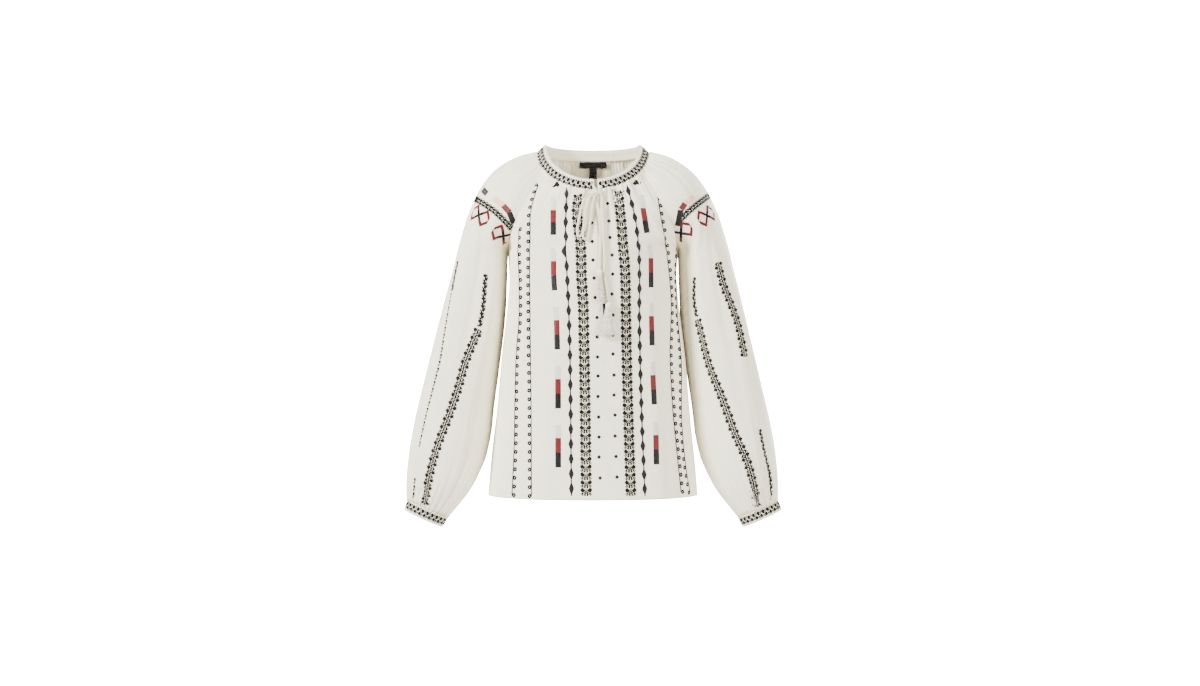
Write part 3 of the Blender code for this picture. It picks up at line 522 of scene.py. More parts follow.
def cloth_shell(name, cloth, index_grids, material, mirror=False, sign=1, thickness=CLOTH):
    """A thin closed shell through the panel's points, with an inner face its thickness behind."""
    outer = cloth.points.reshape(-1, 3)
    inner = outer - thickness * cloth.normals.reshape(-1, 3)
    flat = flat_places(cloth.points).reshape(-1, 2)
    count = len(outer)
    faces = np.concatenate([quads_of(grid) for grid, _ in index_grids])
    corner_places = np.concatenate([quads_of(source) for _, source in index_grids])
    if sign * (-1 if mirror else 1) < 0:
        faces, corner_places = faces[:, ::-1], corner_places[:, ::-1]
    edges = np.concatenate([faces[:, [i, (i + 1) % 4]] for i in range(4)])
    edge_places = np.concatenate([corner_places[:, [i, (i + 1) % 4]] for i in range(4)])
    keys = edges[:, 0] * count + edges[:, 1]
    rim = ~np.isin(keys, edges[:, 1] * count + edges[:, 0])
    rims = np.stack([edges[rim, 1], edges[rim, 0], edges[rim, 0] + count, edges[rim, 1] + count], axis=-1)
    rim_places = edge_places[rim][:, [1, 0, 0, 1]]
    points = np.concatenate([outer, inner])
    points = mirrored_x(points) if mirror else points
    all_faces = np.concatenate([faces, faces[:, ::-1] + count, rims])
    places = np.concatenate([corner_places, corner_places[:, ::-1], rim_places])
    used = np.unique(all_faces)
    number = np.full(2 * count, -1)
    number[used] = np.arange(len(used))
    return new_object(name, points[used], number[all_faces].tolist(), flat[places], [material])


class Value:
    """A number in a material's nodes. Arithmetic on it adds Math nodes."""

    def __init__(self, look, socket):
        self.look = look
        self.socket = socket

    def __add__(self, other):
        return self.look.maths("ADD", self, other)

    def __sub__(self, other):
        return self.look.maths("SUBTRACT", self, other)

    def __rsub__(self, other):
        return self.look.maths("SUBTRACT", other, self)

    def __mul__(self, other):
        return self.look.maths("MULTIPLY", self, other)

    def __abs__(self):
        return self.look.maths("ABSOLUTE", self)

    __radd__ = __add__
    __rmul__ = __mul__


class Look:
    """A material of plain Principled finish, whose varying parts are added as nodes."""

    def __init__(self, name, roughness, sheen=0.0, gloss=0.5):
        self.material = bpy.data.materials.new(name)
        self.material.use_nodes = True
        self.tree = self.material.node_tree
        self.shader = self.tree.nodes["Principled BSDF"]
        self.shader.inputs["Roughness"].default_value = roughness
        self.shader.inputs["Sheen Weight"].default_value = sheen
        self.shader.inputs["Sheen Roughness"].default_value = 0.5
        self.shader.inputs["Specular IOR Level"].default_value = gloss

    def node(self, kind, settings=None, inputs=None, output=0):
        """Adds a node: its settings, then the value or link of each socket. Gives the output asked for."""
        node = self.tree.nodes.new(kind)
        for name, value in (settings or {}).items():
            setattr(node, name, value)
        for name, value in (inputs or {}).items():
            self.feed(node.inputs[name], value)
        if isinstance(output, tuple):
            return tuple(Value(self, node.outputs[name]) for name in output)
        return Value(self, node.outputs[output])

    def feed(self, socket, value):
        if isinstance(value, Value):
            self.tree.links.new(value.socket, socket)
        else:
            socket.default_value = value

    def maths(self, operation, *values):
        return self.node("ShaderNodeMath", {"operation": operation}, dict(enumerate(values)))

    def uv(self):
        """The cloth's own flat directions, in metres: across and up."""
        where = self.node("ShaderNodeUVMap", {"uv_map": "UVMap"})
        return self.node("ShaderNodeSeparateXYZ", {}, {0: where}, output=("X", "Y"))

    def joined(self, x, y, z=0.0):
        return self.node("ShaderNodeCombineXYZ", {}, {0: x, 1: y, 2: z})

    def noise(self, where, scale, detail=2.0, roughness=0.5):
        inputs = {"Vector": where, "Scale": scale, "Detail": detail, "Roughness": roughness}
        return self.node("ShaderNodeTexNoise", {}, inputs, output="Fac")

    def mixed(self, share, first, second):
        """One colour turning into another by a share from 0 to 1."""
        settings = {"data_type": "RGBA", "clamp_factor": True}
        return self.node("ShaderNodeMix", settings, {0: share, 6: first, 7: second}, output=2)

    def colour(self, value):
        self.feed(self.shader.inputs["Base Color"], value)

    def raise_by(self, height, distance, strength=1.0):
        inputs = {"Height": height, "Distance": distance, "Strength": strength}
        bump = self.node("ShaderNodeBump", {}, inputs)
        self.feed(self.shader.inputs["Normal"], bump)


def srgb(red, green, blue):
    """A colour of 0 to 255 as the linear colour that shaders take."""
    parts = [part / 255 for part in (red, green, blue)]
    linear = [p / 12.92 if p <= 0.04045 else ((p + 0.055) / 1.055) ** 2.4 for p in parts]
    return (*linear, 1.0)


THREAD_PITCH, RIB_PITCH = 0.00048, 0.0006
GAUZE_LIGHT, GAUZE_SHADE = (250, 244, 220), (238, 228, 196)


def gauze_look():
    """Fine cotton gauze: an open plain weave, thicker threads here and there, and a faint crinkle."""
    look = Look("gauze", roughness=0.92, sheen=0.12)
    u, v = look.uv()
    where = look.joined(u, v)
    slub_across = look.noise(look.joined(u * 60, v * 2600), 1.0, 1.0)
    slub_down = look.noise(look.joined(u * 2600, v * 60), 1.0, 1.0)
    warp = look.maths("SINE", u * (2 * math.pi / THREAD_PITCH))
    weft = look.maths("SINE", v * (2 * math.pi / THREAD_PITCH))
    weave = warp * weft * 0.5 + 0.5
    crinkle_lines = look.noise(look.joined(u * 420, v * 60), 1.0, 3.0, 0.55)
    cloudy = look.noise(where, 24.0, 3.0)
    threads = slub_across * 0.5 + slub_down * 0.5
    share = threads * 0.9 + cloudy * 0.5 - 0.22
    look.colour(look.mixed(share, srgb(*GAUZE_SHADE), srgb(*GAUZE_LIGHT)))
    look.raise_by(weave * 0.25 + threads * 0.6 + crinkle_lines * 1.6, 0.0007, 0.9)
    return look.material


def thread_look(name, dark, bright, roughness=0.55):
    """Cross-stitched cotton floss: two threads cross in each stitch, each of a few strands. Its colour
    carries painted shade and light: lighter along each thread's middle and darker between the threads, the
    over thread painted lighter than the under one, and fine lighter and darker stripes along the strands.
    """
    look = Look(name, roughness=roughness, gloss=0.12)
    u, v = look.uv()
    u = look.maths("FRACT", u)
    v = look.maths("FRACT", v)
    rising = abs(u - v)
    falling = abs(u + v - 1)
    shaded_under_thread = look.maths("SUBTRACT", 1.0, rising * 2.2)
    lit_over_thread = look.maths("SUBTRACT", 1.25, falling * 2.2)
    thread = look.maths("MAXIMUM", shaded_under_thread, lit_over_thread)
    strands = look.maths("SINE", look.maths("MINIMUM", rising, falling) * 40)
    where = look.node("ShaderNodeTexCoord", output="Object")
    patchy = look.noise(where, 160.0, 2.0)
    # Painted shade between the threads and painted light on the over thread, mixed with random patchiness.
    share = thread * 0.45 + strands * 0.08 + patchy * 0.5 - 0.15
    look.colour(look.mixed(share, srgb(*dark), srgb(*bright)))
    look.raise_by(thread + strands * 0.15, 0.0003, 0.8)
    return look.material


def satin_look(name, dark, bright, roughness=0.42):
    """Satin-stitched floss: threads laid side by side, each of a few strands. Each thread's colour is
    painted lighter along its crest and darker where it meets the next, as painted shade between the threads.
    """
    look = Look(name, roughness=roughness, gloss=0.2)
    u, v = look.uv()
    ridge = abs(look.maths("FRACT", v) - 0.5)
    rounded_crest_and_shade = look.maths("SUBTRACT", 1.0, ridge * ridge * 4)
    strands = look.noise(look.joined(u * 3, v * 7), 1.0, 2.0)
    # Painted light on each thread's crest and painted shade between the threads, with random strand tone.
    share = rounded_crest_and_shade * 0.5 + strands * 0.6 - 0.1
    look.colour(look.mixed(share, srgb(*dark), srgb(*bright)))
    look.raise_by(rounded_crest_and_shade + strands * 0.5, 0.00025, 0.8)
    return look.material


def tie_look(name, shade, light, fibre):
    """Soft cotton tie or thread, with fine fibres along it and a faint uneven twist."""
    look = Look(name, roughness=0.9, sheen=0.15)
    u, v = look.uv()
    twist = look.maths("SINE", u * 900 + v * (4 * math.pi))
    fibres = look.noise(look.joined(u * 260, v * fibre), 1.0, 3.0)
    share = twist * 0.08 + fibres * 0.9 + 0.05
    look.colour(look.mixed(share, srgb(*shade), srgb(*light)))
    look.raise_by(twist * 0.25 + fibres * 1.5, 0.0009, 0.9)
    return look.material


def label_look():
    """Black satin ribbon: fine lustrous ribs across its length."""
    look = Look("black_satin", roughness=0.4, gloss=0.25)
    u, v = look.uv()
    ribs = look.maths("SINE", v * (2 * math.pi / RIB_PITCH))
    cloudy = look.noise(look.joined(u * 900, v * 120), 1.0, 2.0)
    look.colour(look.mixed(cloudy * 0.9 + ribs * 0.1, srgb(4, 4, 5), srgb(14, 14, 16)))
    look.raise_by(ribs * 0.4 + cloudy, 0.0002, 0.6)
    return look.material


def add_camera():
    data = bpy.data.cameras.new("camera")
    data.sensor_width = SENSOR_WIDTH
    data.lens = SENSOR_WIDTH * -CAMERA_AT[1] / (PICTURE_WIDTH * MM_PER_PIXEL)
    camera = bpy.data.objects.new("camera", data)
    camera.location = CAMERA_AT * MM
    camera.rotation_euler = (math.radians(90), 0, 0)
    bpy.context.scene.collection.objects.link(camera)
    bpy.context.scene.camera = camera


FLOOR_Z, FLOOR_HALF, FLOOR_SIDES, FLOOR_CLEAR, FLOOR_GONE = -1.15, 1.2, 96, 0.3, 1.0


def add_stage():
    """A pale round floor that fades away before it could draw a line across the background."""
    bpy.ops.object.select_all(action="DESELECT")
    bpy.ops.mesh.primitive_circle_add(
        vertices=FLOOR_SIDES, radius=FLOOR_HALF, fill_type="NGON", location=(0, 0, FLOOR_Z)
    )
    floor = bpy.context.object
    floor.name = "pale_floor"
    bpy.ops.object.transform_apply(location=True, rotation=True, scale=True)
    look = Look("pale_paper", roughness=0.95)
    where = look.node("ShaderNodeTexCoord", output="Object")
    look.colour(look.mixed(look.noise(where, 3.0, 2.0), srgb(246, 246, 246), srgb(252, 252, 252)))
    x, y, _ = look.node("ShaderNodeSeparateXYZ", {}, {0: where}, output=("X", "Y", "Z"))
    away = look.maths("SQRT", x * x + y * y)
    limits = {"From Min": FLOOR_CLEAR, "From Max": FLOOR_GONE}
    faded = look.node("ShaderNodeMapRange", {"interpolation_type": "SMOOTHSTEP"}, {"Value": away, **limits})
    empty = look.node("ShaderNodeBsdfTransparent")
    blend = look.tree.nodes.new("ShaderNodeMixShader")
    look.tree.links.new(faded.socket, blend.inputs[0])
    look.tree.links.new(look.shader.outputs[0], blend.inputs[1])
    look.tree.links.new(empty.socket, blend.inputs[2])
    look.tree.links.new(blend.outputs[0], look.tree.nodes["Material Output"].inputs["Surface"])
    floor.data.materials.append(look.material)


# The background is brighter to the camera than the light that it gives, as a lit studio wall is.
BACKGROUND_SEEN, BACKGROUND_GIVEN = 40.0, 0.75
LIGHTS_AIM = np.array([0.0, 0.0, -0.35])
LIGHTS = (
    {"name": "key", "at": (-3.6, -2.2, 1.6), "size": 1.0, "power": 760},
    {"name": "fill", "at": (3.4, -2.8, 0.6), "size": 2.0, "power": 360},
    {"name": "back", "at": (2.2, 3.2, 1.6), "size": 1.6, "power": 560},
)


def add_lights():
    world = bpy.data.worlds.new("studio")
    world.use_nodes = True
    nodes, links = world.node_tree.nodes, world.node_tree.links
    path = nodes.new("ShaderNodeLightPath")
    strength = nodes.new("ShaderNodeMapRange")
    strength.inputs["To Min"].default_value = BACKGROUND_GIVEN
    strength.inputs["To Max"].default_value = BACKGROUND_SEEN
    links.new(path.outputs["Is Camera Ray"], strength.inputs["Value"])
    links.new(strength.outputs["Result"], nodes["Background"].inputs["Strength"])
    nodes["Background"].inputs["Color"].default_value = (1.0, 1.0, 1.0, 1.0)
    bpy.context.scene.world = world
    for lamp in LIGHTS:
        data = bpy.data.lights.new(lamp["name"], "AREA")
        data.shape = "SQUARE"
        data.size = lamp["size"]
        data.energy = lamp["power"]
        light = bpy.data.objects.new(lamp["name"], data)
        bpy.context.scene.collection.objects.link(light)
        aim = LIGHTS_AIM - lamp["at"]
        light.location = lamp["at"]
        light.rotation_euler = Vector(aim).to_track_quat("-Z", "Y").to_euler()


# Threads by the letter that the charts use. Small letters are cross stitch, capitals are satin stitch.
# Each thread's dark and bright colours are mixed by painted shade and light on its threads and by random
# patchiness.
THREADS = {
    "k": {"name": "black_cross", "dark": (4, 3, 4), "bright": (20, 17, 19)},
    "r": {"name": "red_cross", "dark": (66, 12, 14), "bright": (112, 28, 30)},
    "p": {"name": "pink_cross", "dark": (236, 210, 192), "bright": (250, 234, 220)},
    "K": {"name": "black_satin_thread", "dark": (4, 3, 3), "bright": (20, 15, 15)},
    "R": {"name": "red_satin_thread", "dark": (66, 13, 14), "bright": (112, 31, 31)},
    "P": {"name": "pink_satin_thread", "dark": (226, 158, 128), "bright": (248, 204, 178)},
    "W": {"name": "pale_satin_thread", "dark": (196, 190, 178), "bright": (222, 216, 203)},
}
STITCH, FLORAL_STITCH, SLEEVE_STITCH = 1.3, 1.38, 1.55
STITCH_FOOT, STITCH_HIGH, STITCH_FULL = 0.25, 0.6, 1.06
STITCH_LEAST, STITCH_MOST = 0.5, 1.9
SATIN_PITCH, SATIN_SUNK, SATIN_LOW, SATIN_GRAIN = 1.15, -0.08, 0.62, 3
STEM_PITCH, STEM_HIGH = 1.6, 0.35
LEAF_POWER, LEAF_TIP = 1.25, 0.25
SATIN_SHARES = (-1.0, -0.8, -0.3, 0.3, 0.8, 1.0)

# Charts: each row is one row of stitches along the band, and each letter one stitch.
FLORAL_CHART = (
    ".kkk.......kkk.",
    "kkkkk.k.k.kkkkk",
    "kkkkkk.k.kkkkkk",
    "kkkkkkk.kkkkkkk",
    ".kkkk.kkk.kkkk.",
    "..k.kkk.kkk.k..",
    ".kkk.kkkkk.kkk.",
    "k.kk.kk.kk.kk.k",
    ".kk.kkk.kkk.kk.",
    "..k..kk.kk..k..",
)
WIDE_CHART = (
    ".kkk.kk.k...",
    "kkkkk.kkkk..",
    "kkkkkkk.kkk.",
    ".kkk.kk.kk..",
    "..kk.kkkk.k.",
    "...k.kk.kkk.",
    "..kkkk.kkkkk",
    ".kkk.kkkkkkk",
    "..kk.kk.kkk.",
    ".k.kkkk.k...",
)
HALF_CHART = (
    ".kkk..",
    "kkkkkk",
    "kkkkk.",
    ".kkk.k",
    "..kkkk",
    "..kkkk",
    "k.kkkk",
    "kkkkk.",
    ".kk.k.",
)
DASH_CHART = (
    "kkk",
    "kkk",
    ".kk",
    ".k.",
    ".kk",
    "kk.",
    ".k.",
    "...",
)
ARM_CHART = (
    "..kkk.kkk.",
    ".kkkkkkkkk",
    ".kkkkkkkk.",
    "k.kkk.kk.k",
    "kk.kkk.kkk",
    ".kkkkkkkk.",
    ".kkk..kkk.",
)
BAND_CHART = (
    "..kkkk...k..",
    ".kkkkkk.kkk.",
    "kkkkkkk.kk.k",
    ".kkkkkk.k.kk",
    "..kk.k.kkkk.",
    "k.k.k.kkkkkk",
    "kk.kk.kkkkkk",
    ".kk....kkkk.",
)
DOT_CHART = (
    ".kk.",
    "kkkk",
    "kkkk",
    ".kk.",
)
RING_CHART = (
    ".kkk.",
    "kkkkk",
    "kk.kk",
    "kkkkk",
    ".kkk.",
)
TREFOIL_CHART = (
    "...kk...",
    "..kkkk..",
    "..kkkk..",
    ".kkkkkk.",
    "kkkkkkkk",
    "kkkkkkkk",
    ".kk..kk.",
)


class Threadwork:
    """The raised threads of one piece: their points, faces, directions along each thread, and letters."""

    def __init__(self):
        self.points, self.faces, self.uvs, self.threads = [], [], [], []
        self.count = 0

    def add(self, points, faces, uvs, threads):
        self.points.append(points)
        self.faces.append(faces + self.count)
        self.uvs.append(uvs)
        self.threads.extend(threads)
        self.count += len(points)

    def crosses(self, lattice, normals, chart):
        """One low pyramid for each stitch of the chart, on a lattice of its corners. A stitch that the cloth
        would squash or stretch too far is left out."""
        chart = np.array([list(row) for row in chart])
        for letter in sorted(set(chart.reshape(-1)) - {"."}):
            i, j = np.nonzero(chart == letter)
            corners, out = cell_corners(lattice, i, j), cell_corners(normals, i, j)
            crossed = np.cross(corners[:, 2] - corners[:, 0], corners[:, 3] - corners[:, 1])
            area = np.linalg.norm(crossed, axis=-1)
            whole = (area > STITCH_LEAST * np.median(area)) & (area < STITCH_MOST * np.median(area))
            corners, out = corners[whole], out[whole]
            middle = corners.mean(axis=1, keepdims=True)
            corners = middle + (corners - middle) * STITCH_FULL + STITCH_FOOT * out
            top = middle + STITCH_HIGH * out.mean(axis=1, keepdims=True)
            points = np.concatenate([corners, top], axis=1)
            base = (np.arange(len(corners)) * 5)[:, None, None]
            fan = np.array([[0, 1, 4], [1, 2, 4], [2, 3, 4], [3, 0, 4]])[None]
            flat = np.array([(0, 0), (1, 0), (1, 1), (0, 1), (0.5, 0.5)], float)[fan[0]]
            faces = (base + fan).reshape(-1, 3)
            uvs = np.tile(flat.reshape(1, -1, 2), (len(corners), 1, 1)).reshape(-1, 3, 2)
            self.add(points.reshape(-1, 3), faces, uvs, [letter] * len(faces))

    def satin(self, cloth, places, half_widths, letter, high=STITCH_HIGH):
        """Threads laid side by side across a path, two rows of points to each thread."""
        shares = np.array(SATIN_SHARES)
        points, normals = lattice_at(cloth, places, half_widths[:, None] * shares)
        lift = np.full(points.shape[:2], SATIN_SUNK)
        lift[:, 1:-1] = high * SATIN_LOW
        lift[1::2, 1:-1] = high
        points = points + lift[..., None] * normals
        rows, columns = points.shape[:2]
        index = np.arange(rows * columns).reshape(rows, columns)
        quads = quads_of(index)[:, [0, 3, 2, 1]]
        u = half_widths[:, None] * shares / SATIN_GRAIN
        v = np.repeat(np.arange(rows)[:, None] / 2, columns, axis=1)
        uv = np.stack([u, v], axis=-1).reshape(-1, 2)
        triangles = np.concatenate([quads[:, [0, 1, 2]], quads[:, [0, 2, 3]]])
        self.add(points.reshape(-1, 3), triangles, uv[triangles], [letter] * len(triangles))

    def tube(self, path, radius, sides, letter, flat=1.0):
        """A thread or cord along a path, closed at both ends, and flattened towards the front. Its UV runs
        along it, then round it."""
        ahead = unit(np.gradient(path, axis=0))
        side = np.cross(ahead[0], FORWARD + 0.1 * UP)
        rings = []
        turn = np.linspace(0, 2 * math.pi, sides, endpoint=False)[:, None]
        for point, along, thick in zip(path, ahead, np.broadcast_to(radius, len(path))):
            side = unit(side - dot(side, along) * along)
            towards = np.cross(along, side) * flat
            rings.append(point + thick * (side * np.cos(turn) + towards * np.sin(turn)))
        points = np.concatenate([*rings, path[:1], path[-1:]])
        start, end = len(points) - 2, len(points) - 1
        gone = np.concatenate([[0], np.cumsum(np.linalg.norm(np.diff(path, axis=0), axis=-1))]) * MM
        i, k = np.meshgrid(np.arange(len(path) - 1), np.arange(sides), indexing="ij")
        i, k = i.reshape(-1), k.reshape(-1)
        after = (k + 1) % sides
        a, b, c, d = i * sides + k, i * sides + after, (i + 1) * sides + after, (i + 1) * sides + k
        near, far, left, right = gone[i], gone[i + 1], k / sides, (k + 1) / sides
        uv_a, uv_b = np.stack([near, left], axis=-1), np.stack([near, right], axis=-1)
        uv_c, uv_d = np.stack([far, right], axis=-1), np.stack([far, left], axis=-1)
        k = np.arange(sides)
        after = (k + 1) % sides
        last = (len(path) - 1) * sides
        first_cap = np.stack([np.full(sides, start), after, k], axis=-1)
        last_cap = np.stack([np.full(sides, end), last + k, last + after], axis=-1)
        faces = np.concatenate([
            np.stack([a, b, c], axis=-1), np.stack([a, c, d], axis=-1), first_cap, last_cap,
        ])
        caps = np.zeros((2 * sides, 3, 2))
        caps[sides:, :, 0] = gone[-1]
        uvs = np.concatenate([
            np.stack([uv_a, uv_b, uv_c], axis=1), np.stack([uv_a, uv_c, uv_d], axis=1), caps,
        ])
        self.add(points, faces, uvs, [letter] * len(faces))

    def piece(self, name, looks, mirror=False):
        """One mesh of all the threads, with a material for each letter that it uses."""
        points = np.concatenate(self.points)
        faces = np.concatenate(self.faces)
        uvs = np.concatenate(self.uvs)
        if mirror:
            points, faces, uvs = mirrored_x(points), faces[:, ::-1], uvs[:, ::-1]
        used = sorted(set(self.threads))
        number = {letter: i for i, letter in enumerate(used)}
        slots = [number[letter] for letter in self.threads]
        return new_object(name, points, faces.tolist(), uvs, [looks[letter] for letter in used], slots)


COURSE_DETAIL = 24


def course(cloth, places, step, repeat=1):
    """Evenly spaced places on a path, about a step apart and a whole number of repeats."""
    places = np.asarray(places, float)
    knots = np.arange(len(places))
    t = np.linspace(0, len(places) - 1, COURSE_DETAIL * len(places))
    fine = np.stack([np.interp(t, knots, places[:, k]) for k in (0, 1)], axis=-1)
    gone = np.concatenate([[0], np.cumsum(np.linalg.norm(np.diff(cloth.at(fine), axis=0), axis=-1))])
    count = max(1, round(gone[-1] / step / repeat)) * repeat
    at = np.linspace(0, gone[-1], count + 1)
    return np.stack([np.interp(at, gone, fine[:, k]) for k in (0, 1)], axis=-1)


def lattice_at(cloth, middle, offsets):
    """Points and normals of the cloth beside each place of a path, at offsets to its right."""
    line = cloth.at(middle)
    ahead = unit(np.gradient(line, axis=0) + 1e-9)
    side = unit(np.cross(ahead, cloth.normal(middle)))
    places = np.repeat(middle[:, None], offsets.shape[1], axis=1)
    places = cloth.reach(places, offsets[..., None] * side[:, None])
    return cloth.at(places), cloth.normal(places)


def cross_band(stitches, cloth, places, chart, stitch=STITCH):
    """A charted band that repeats along a path."""
    middle = course(cloth, places, stitch, len(chart))
    width = len(chart[0])
    offsets = np.tile((np.arange(width + 1) - width / 2) * stitch, (len(middle), 1))
    lattice, normals = lattice_at(cloth, middle, offsets)
    rows = [chart[i % len(chart)] for i in range(len(middle) - 1)]
    stitches.crosses(lattice, normals, rows)


def cross_motif(stitches, cloth, place, direction, chart, stitch=STITCH):
    """A charted motif centred on a place. Its rows follow each other in the direction given."""
    rows = len(chart)
    direction = unit(np.asarray(direction, float))
    steps = (np.arange(rows + 1) - rows / 2) * stitch
    start = np.repeat(np.asarray(place, float)[None], rows + 1, axis=0)
    middle = cloth.reach(start, steps[:, None] * direction)
    width = len(chart[0])
    offsets = np.tile((np.arange(width + 1) - width / 2) * stitch, (rows + 1, 1))
    lattice, normals = lattice_at(cloth, middle, offsets)
    stitches.crosses(lattice, normals, chart)


def satin_line(stitches, cloth, places, width, letter="K"):
    """A thin line of stem stitch."""
    middle = course(cloth, places, STEM_PITCH)
    stitches.satin(cloth, middle, np.full(len(middle), width / 2), letter, high=STEM_HIGH)


def satin_leaf(stitches, cloth, places, width, letter="K"):
    """A pointed leaf in satin stitch from the first place to the last."""
    middle = course(cloth, places, SATIN_PITCH / 2)
    t = np.linspace(-1, 1, len(middle))
    half_widths = np.maximum(width / 2 * (1 - np.abs(t) ** LEAF_POWER), LEAF_TIP)
    stitches.satin(cloth, middle, half_widths, letter)


def satin_bar(stitches, cloth, places, width, letter):
    middle = course(cloth, places, SATIN_PITCH / 2)
    stitches.satin(cloth, middle, np.full(len(middle), width / 2), letter)


SLEEVE_SEEDS = {"right": 31, "left": 41}
SLEEVE_SHIFT = {"right": 0.0, "left": 0.09}

# Lines of stitching by the pixels that they pass in the picture, from the top down.
FLORAL_LINES = {
    "left": (
        (578, 194), (577, 216), (580.4, 240), (581.4, 275), (583, 301), (584, 344), (585, 398),
        (586.3, 496),
    ),
    "right": (
        (617.6, 190), (620, 210), (622.4, 237), (625, 269), (626, 317), (627, 371), (628.6, 425),
        (631, 496),
    ),
}
CHAIN_LINES = {
    "left": (
        (566.5, 187), (566, 210), (565.4, 237), (566.7, 269), (568.3, 301), (569.7, 344), (571, 451),
        (571.5, 496),
    ),
    "right": (
        (627, 185), (633, 208), (637, 229), (639, 256), (639.3, 317), (640.4, 371), (642, 425),
        (645, 496),
    ),
}
BAR_LINES = {
    "left": ((553.2, 195), (553.3, 240), (553.6, 275), (556.6, 320), (558, 379), (558.2, 469)),
    "right": ((641, 195), (647, 233), (651, 258), (651.5, 316), (653, 376), (656, 436), (656.6, 469)),
}
BAR_REPEATS = {"left": (210, 261, 320, 379, 438), "right": (208, 258, 316, 375, 435)}
BUMP_LINES = {
    "left_inner": ((538, 185), (531, 210), (530, 237), (530, 317), (531, 398), (531.5, 496)),
    "left_outer": (
        (519, 229), (518, 248), (519, 280), (519, 317), (516, 358), (515, 398), (514, 451), (512, 495),
    ),
    "right_inner": (
        (656, 186), (661, 218), (664.5, 237), (667, 256), (671, 296), (670, 358), (672, 398),
        (681, 492),
    ),
    "right_outer": (
        (677, 246), (676, 277), (677, 310), (681, 355), (682, 425), (684, 451), (688, 481), (690, 492),
    ),
}
BUMP_SIDE = {"left_inner": 1, "left_outer": -1, "right_inner": -1, "right_outer": 1}
CENTRE_DOTS = {
    "left": (
        (592, 223), (592.3, 241.5), (593, 260), (594, 278), (595, 297.5), (597, 317.5), (597, 337),
        (597.5, 357), (598, 376), (598, 396.5), (598.6, 417), (599, 437), (599, 457), (600, 478),
    ),
    "right": (
        (607.7, 203.6), (609, 221), (610, 237.5), (612, 255), (612.6, 274), (612, 294), (613, 315),
        (613, 335), (613, 354), (614, 375), (614, 395), (615, 415), (615, 436), (616, 456.5),
        (617, 477),
    ),
}
TREFOILS = ((556.5, 184.5), (636.5, 182.5))
SLEEVE_LINES = {
    "left": (
        (HALF_CHART, ((486, 274), (485, 285), (483, 309), (479.5, 327))),
        (WIDE_CHART, (
            (479, 329), (466, 361), (457.5, 391), (449, 416), (438, 445), (431, 470), (424.5, 505),
        )),
        (HALF_CHART, ((458, 261), (455, 275), (452, 291))),
        (DASH_CHART, ((451.5, 293), (445, 330), (440, 361), (433, 389), (427, 412), (419, 448))),
        (DASH_CHART, ((415, 478), (413, 499))),
    ),
    "right": (
        (HALF_CHART, ((694.5, 277), (694.5, 304), (697, 317))),
        (WIDE_CHART, (
            (697.5, 319), (711, 371), (720, 393), (738, 441), (747, 461), (753, 482), (757.5, 507),
        )),
        (WIDE_CHART, ((718, 262), (724, 286), (731, 304), (737, 321), (745, 357))),
        (HALF_CHART, ((760, 429), (766, 459), (769.5, 475), (771, 500))),
    ),
}
ARM_BAND = {
    "left": ((515, 232), (506, 222), (497, 213), (486, 205), (476, 199)),
    "right": ((679, 221), (690, 210), (700, 202), (707, 197)),
}
ARM_BARS = {
    "left": (
        ("K", (514.3, 223.5), (509.5, 212.5)), ("R", (510, 212.5), (503.5, 205.5)),
        ("P", (503, 205), (494, 198.5)), ("K", (487, 194), (483, 189.5)),
    ),
    "right": (
        ("K", (677.5, 226), (680.5, 210)), ("R", (681, 209.5), (685, 203.5)),
        ("P", (685.5, 203), (694, 196.5)), ("K", (701.5, 190), (705.5, 185.5)),
    ),
}
ARM_HOOKS = {"left": ((503.5, 236), (479, 215)), "right": ((681, 233), (707, 215.5))}

CHAIN_SPACING, CHAIN_LEAF, CHAIN_WIDTH = 26.0, 24.0, 9.6
BUMP_SPACING, BUMP_AWAY, BUMP_STITCH = 15.6, 3.8, 1.5
BAR_WIDTH, BAR_TALL, BAR_TALL_FIRST, BAR_PALE, BAR_GAP = 11.0, 14.7, 12.4, 13.0, 0.6
LINE_WIDTH = 2.5
DOT_STITCH, TREFOIL_STITCH = 1.6, 2.0
HOOK_REACH, HOOK_LINE, HOOK_STITCH = 9, 2.1, 1.5
HOOK_OPEN_FROM, HOOK_BLACK_TO = 1.8, 0.5


def hook_chart():
    """Two squares joined corner to corner, open at their far corners, black at the joint and red beyond."""
    rows = []
    for i in range(-2 * HOOK_REACH, 2 * HOOK_REACH + 1):
        row = ""
        for j in range(-HOOK_REACH - 3, HOOK_REACH + 4):
            side = HOOK_REACH - abs(abs(i) - HOOK_REACH)
            on_line = abs(abs(j) - side) <= HOOK_LINE and abs(i) < HOOK_OPEN_FROM * HOOK_REACH
            inside = abs(j) + abs(abs(i) - HOOK_REACH) < HOOK_REACH - 2
            if on_line:
                row += "k" if abs(i) < HOOK_BLACK_TO * HOOK_REACH else "r"
            else:
                row += "p" if inside else "."
        rows.append(row)
    return rows


PIXEL_STEP = 4.0


def places_seen(cloth, pixels, camera=CAMERA_AT):
    """Places of the cloth that a camera sees along a smooth line through the pixels."""
    pixels = np.asarray(pixels, float)
    if len(pixels) > 2:
        gone = np.concatenate([[0], np.cumsum(np.linalg.norm(np.diff(pixels, axis=0), axis=1))])
        table = {"row": gone, "x": pixels[:, 0], "y": pixels[:, 1]}
        at = np.linspace(0, gone[-1], max(3, round(gone[-1] / PIXEL_STEP)))
        pixels = np.stack([curve_of(table, axis, at) for axis in "xy"], axis=-1)
    places = [cloth.place_seen(pixel, camera) for pixel in pixels]
    return [place for place in places if place is not None]


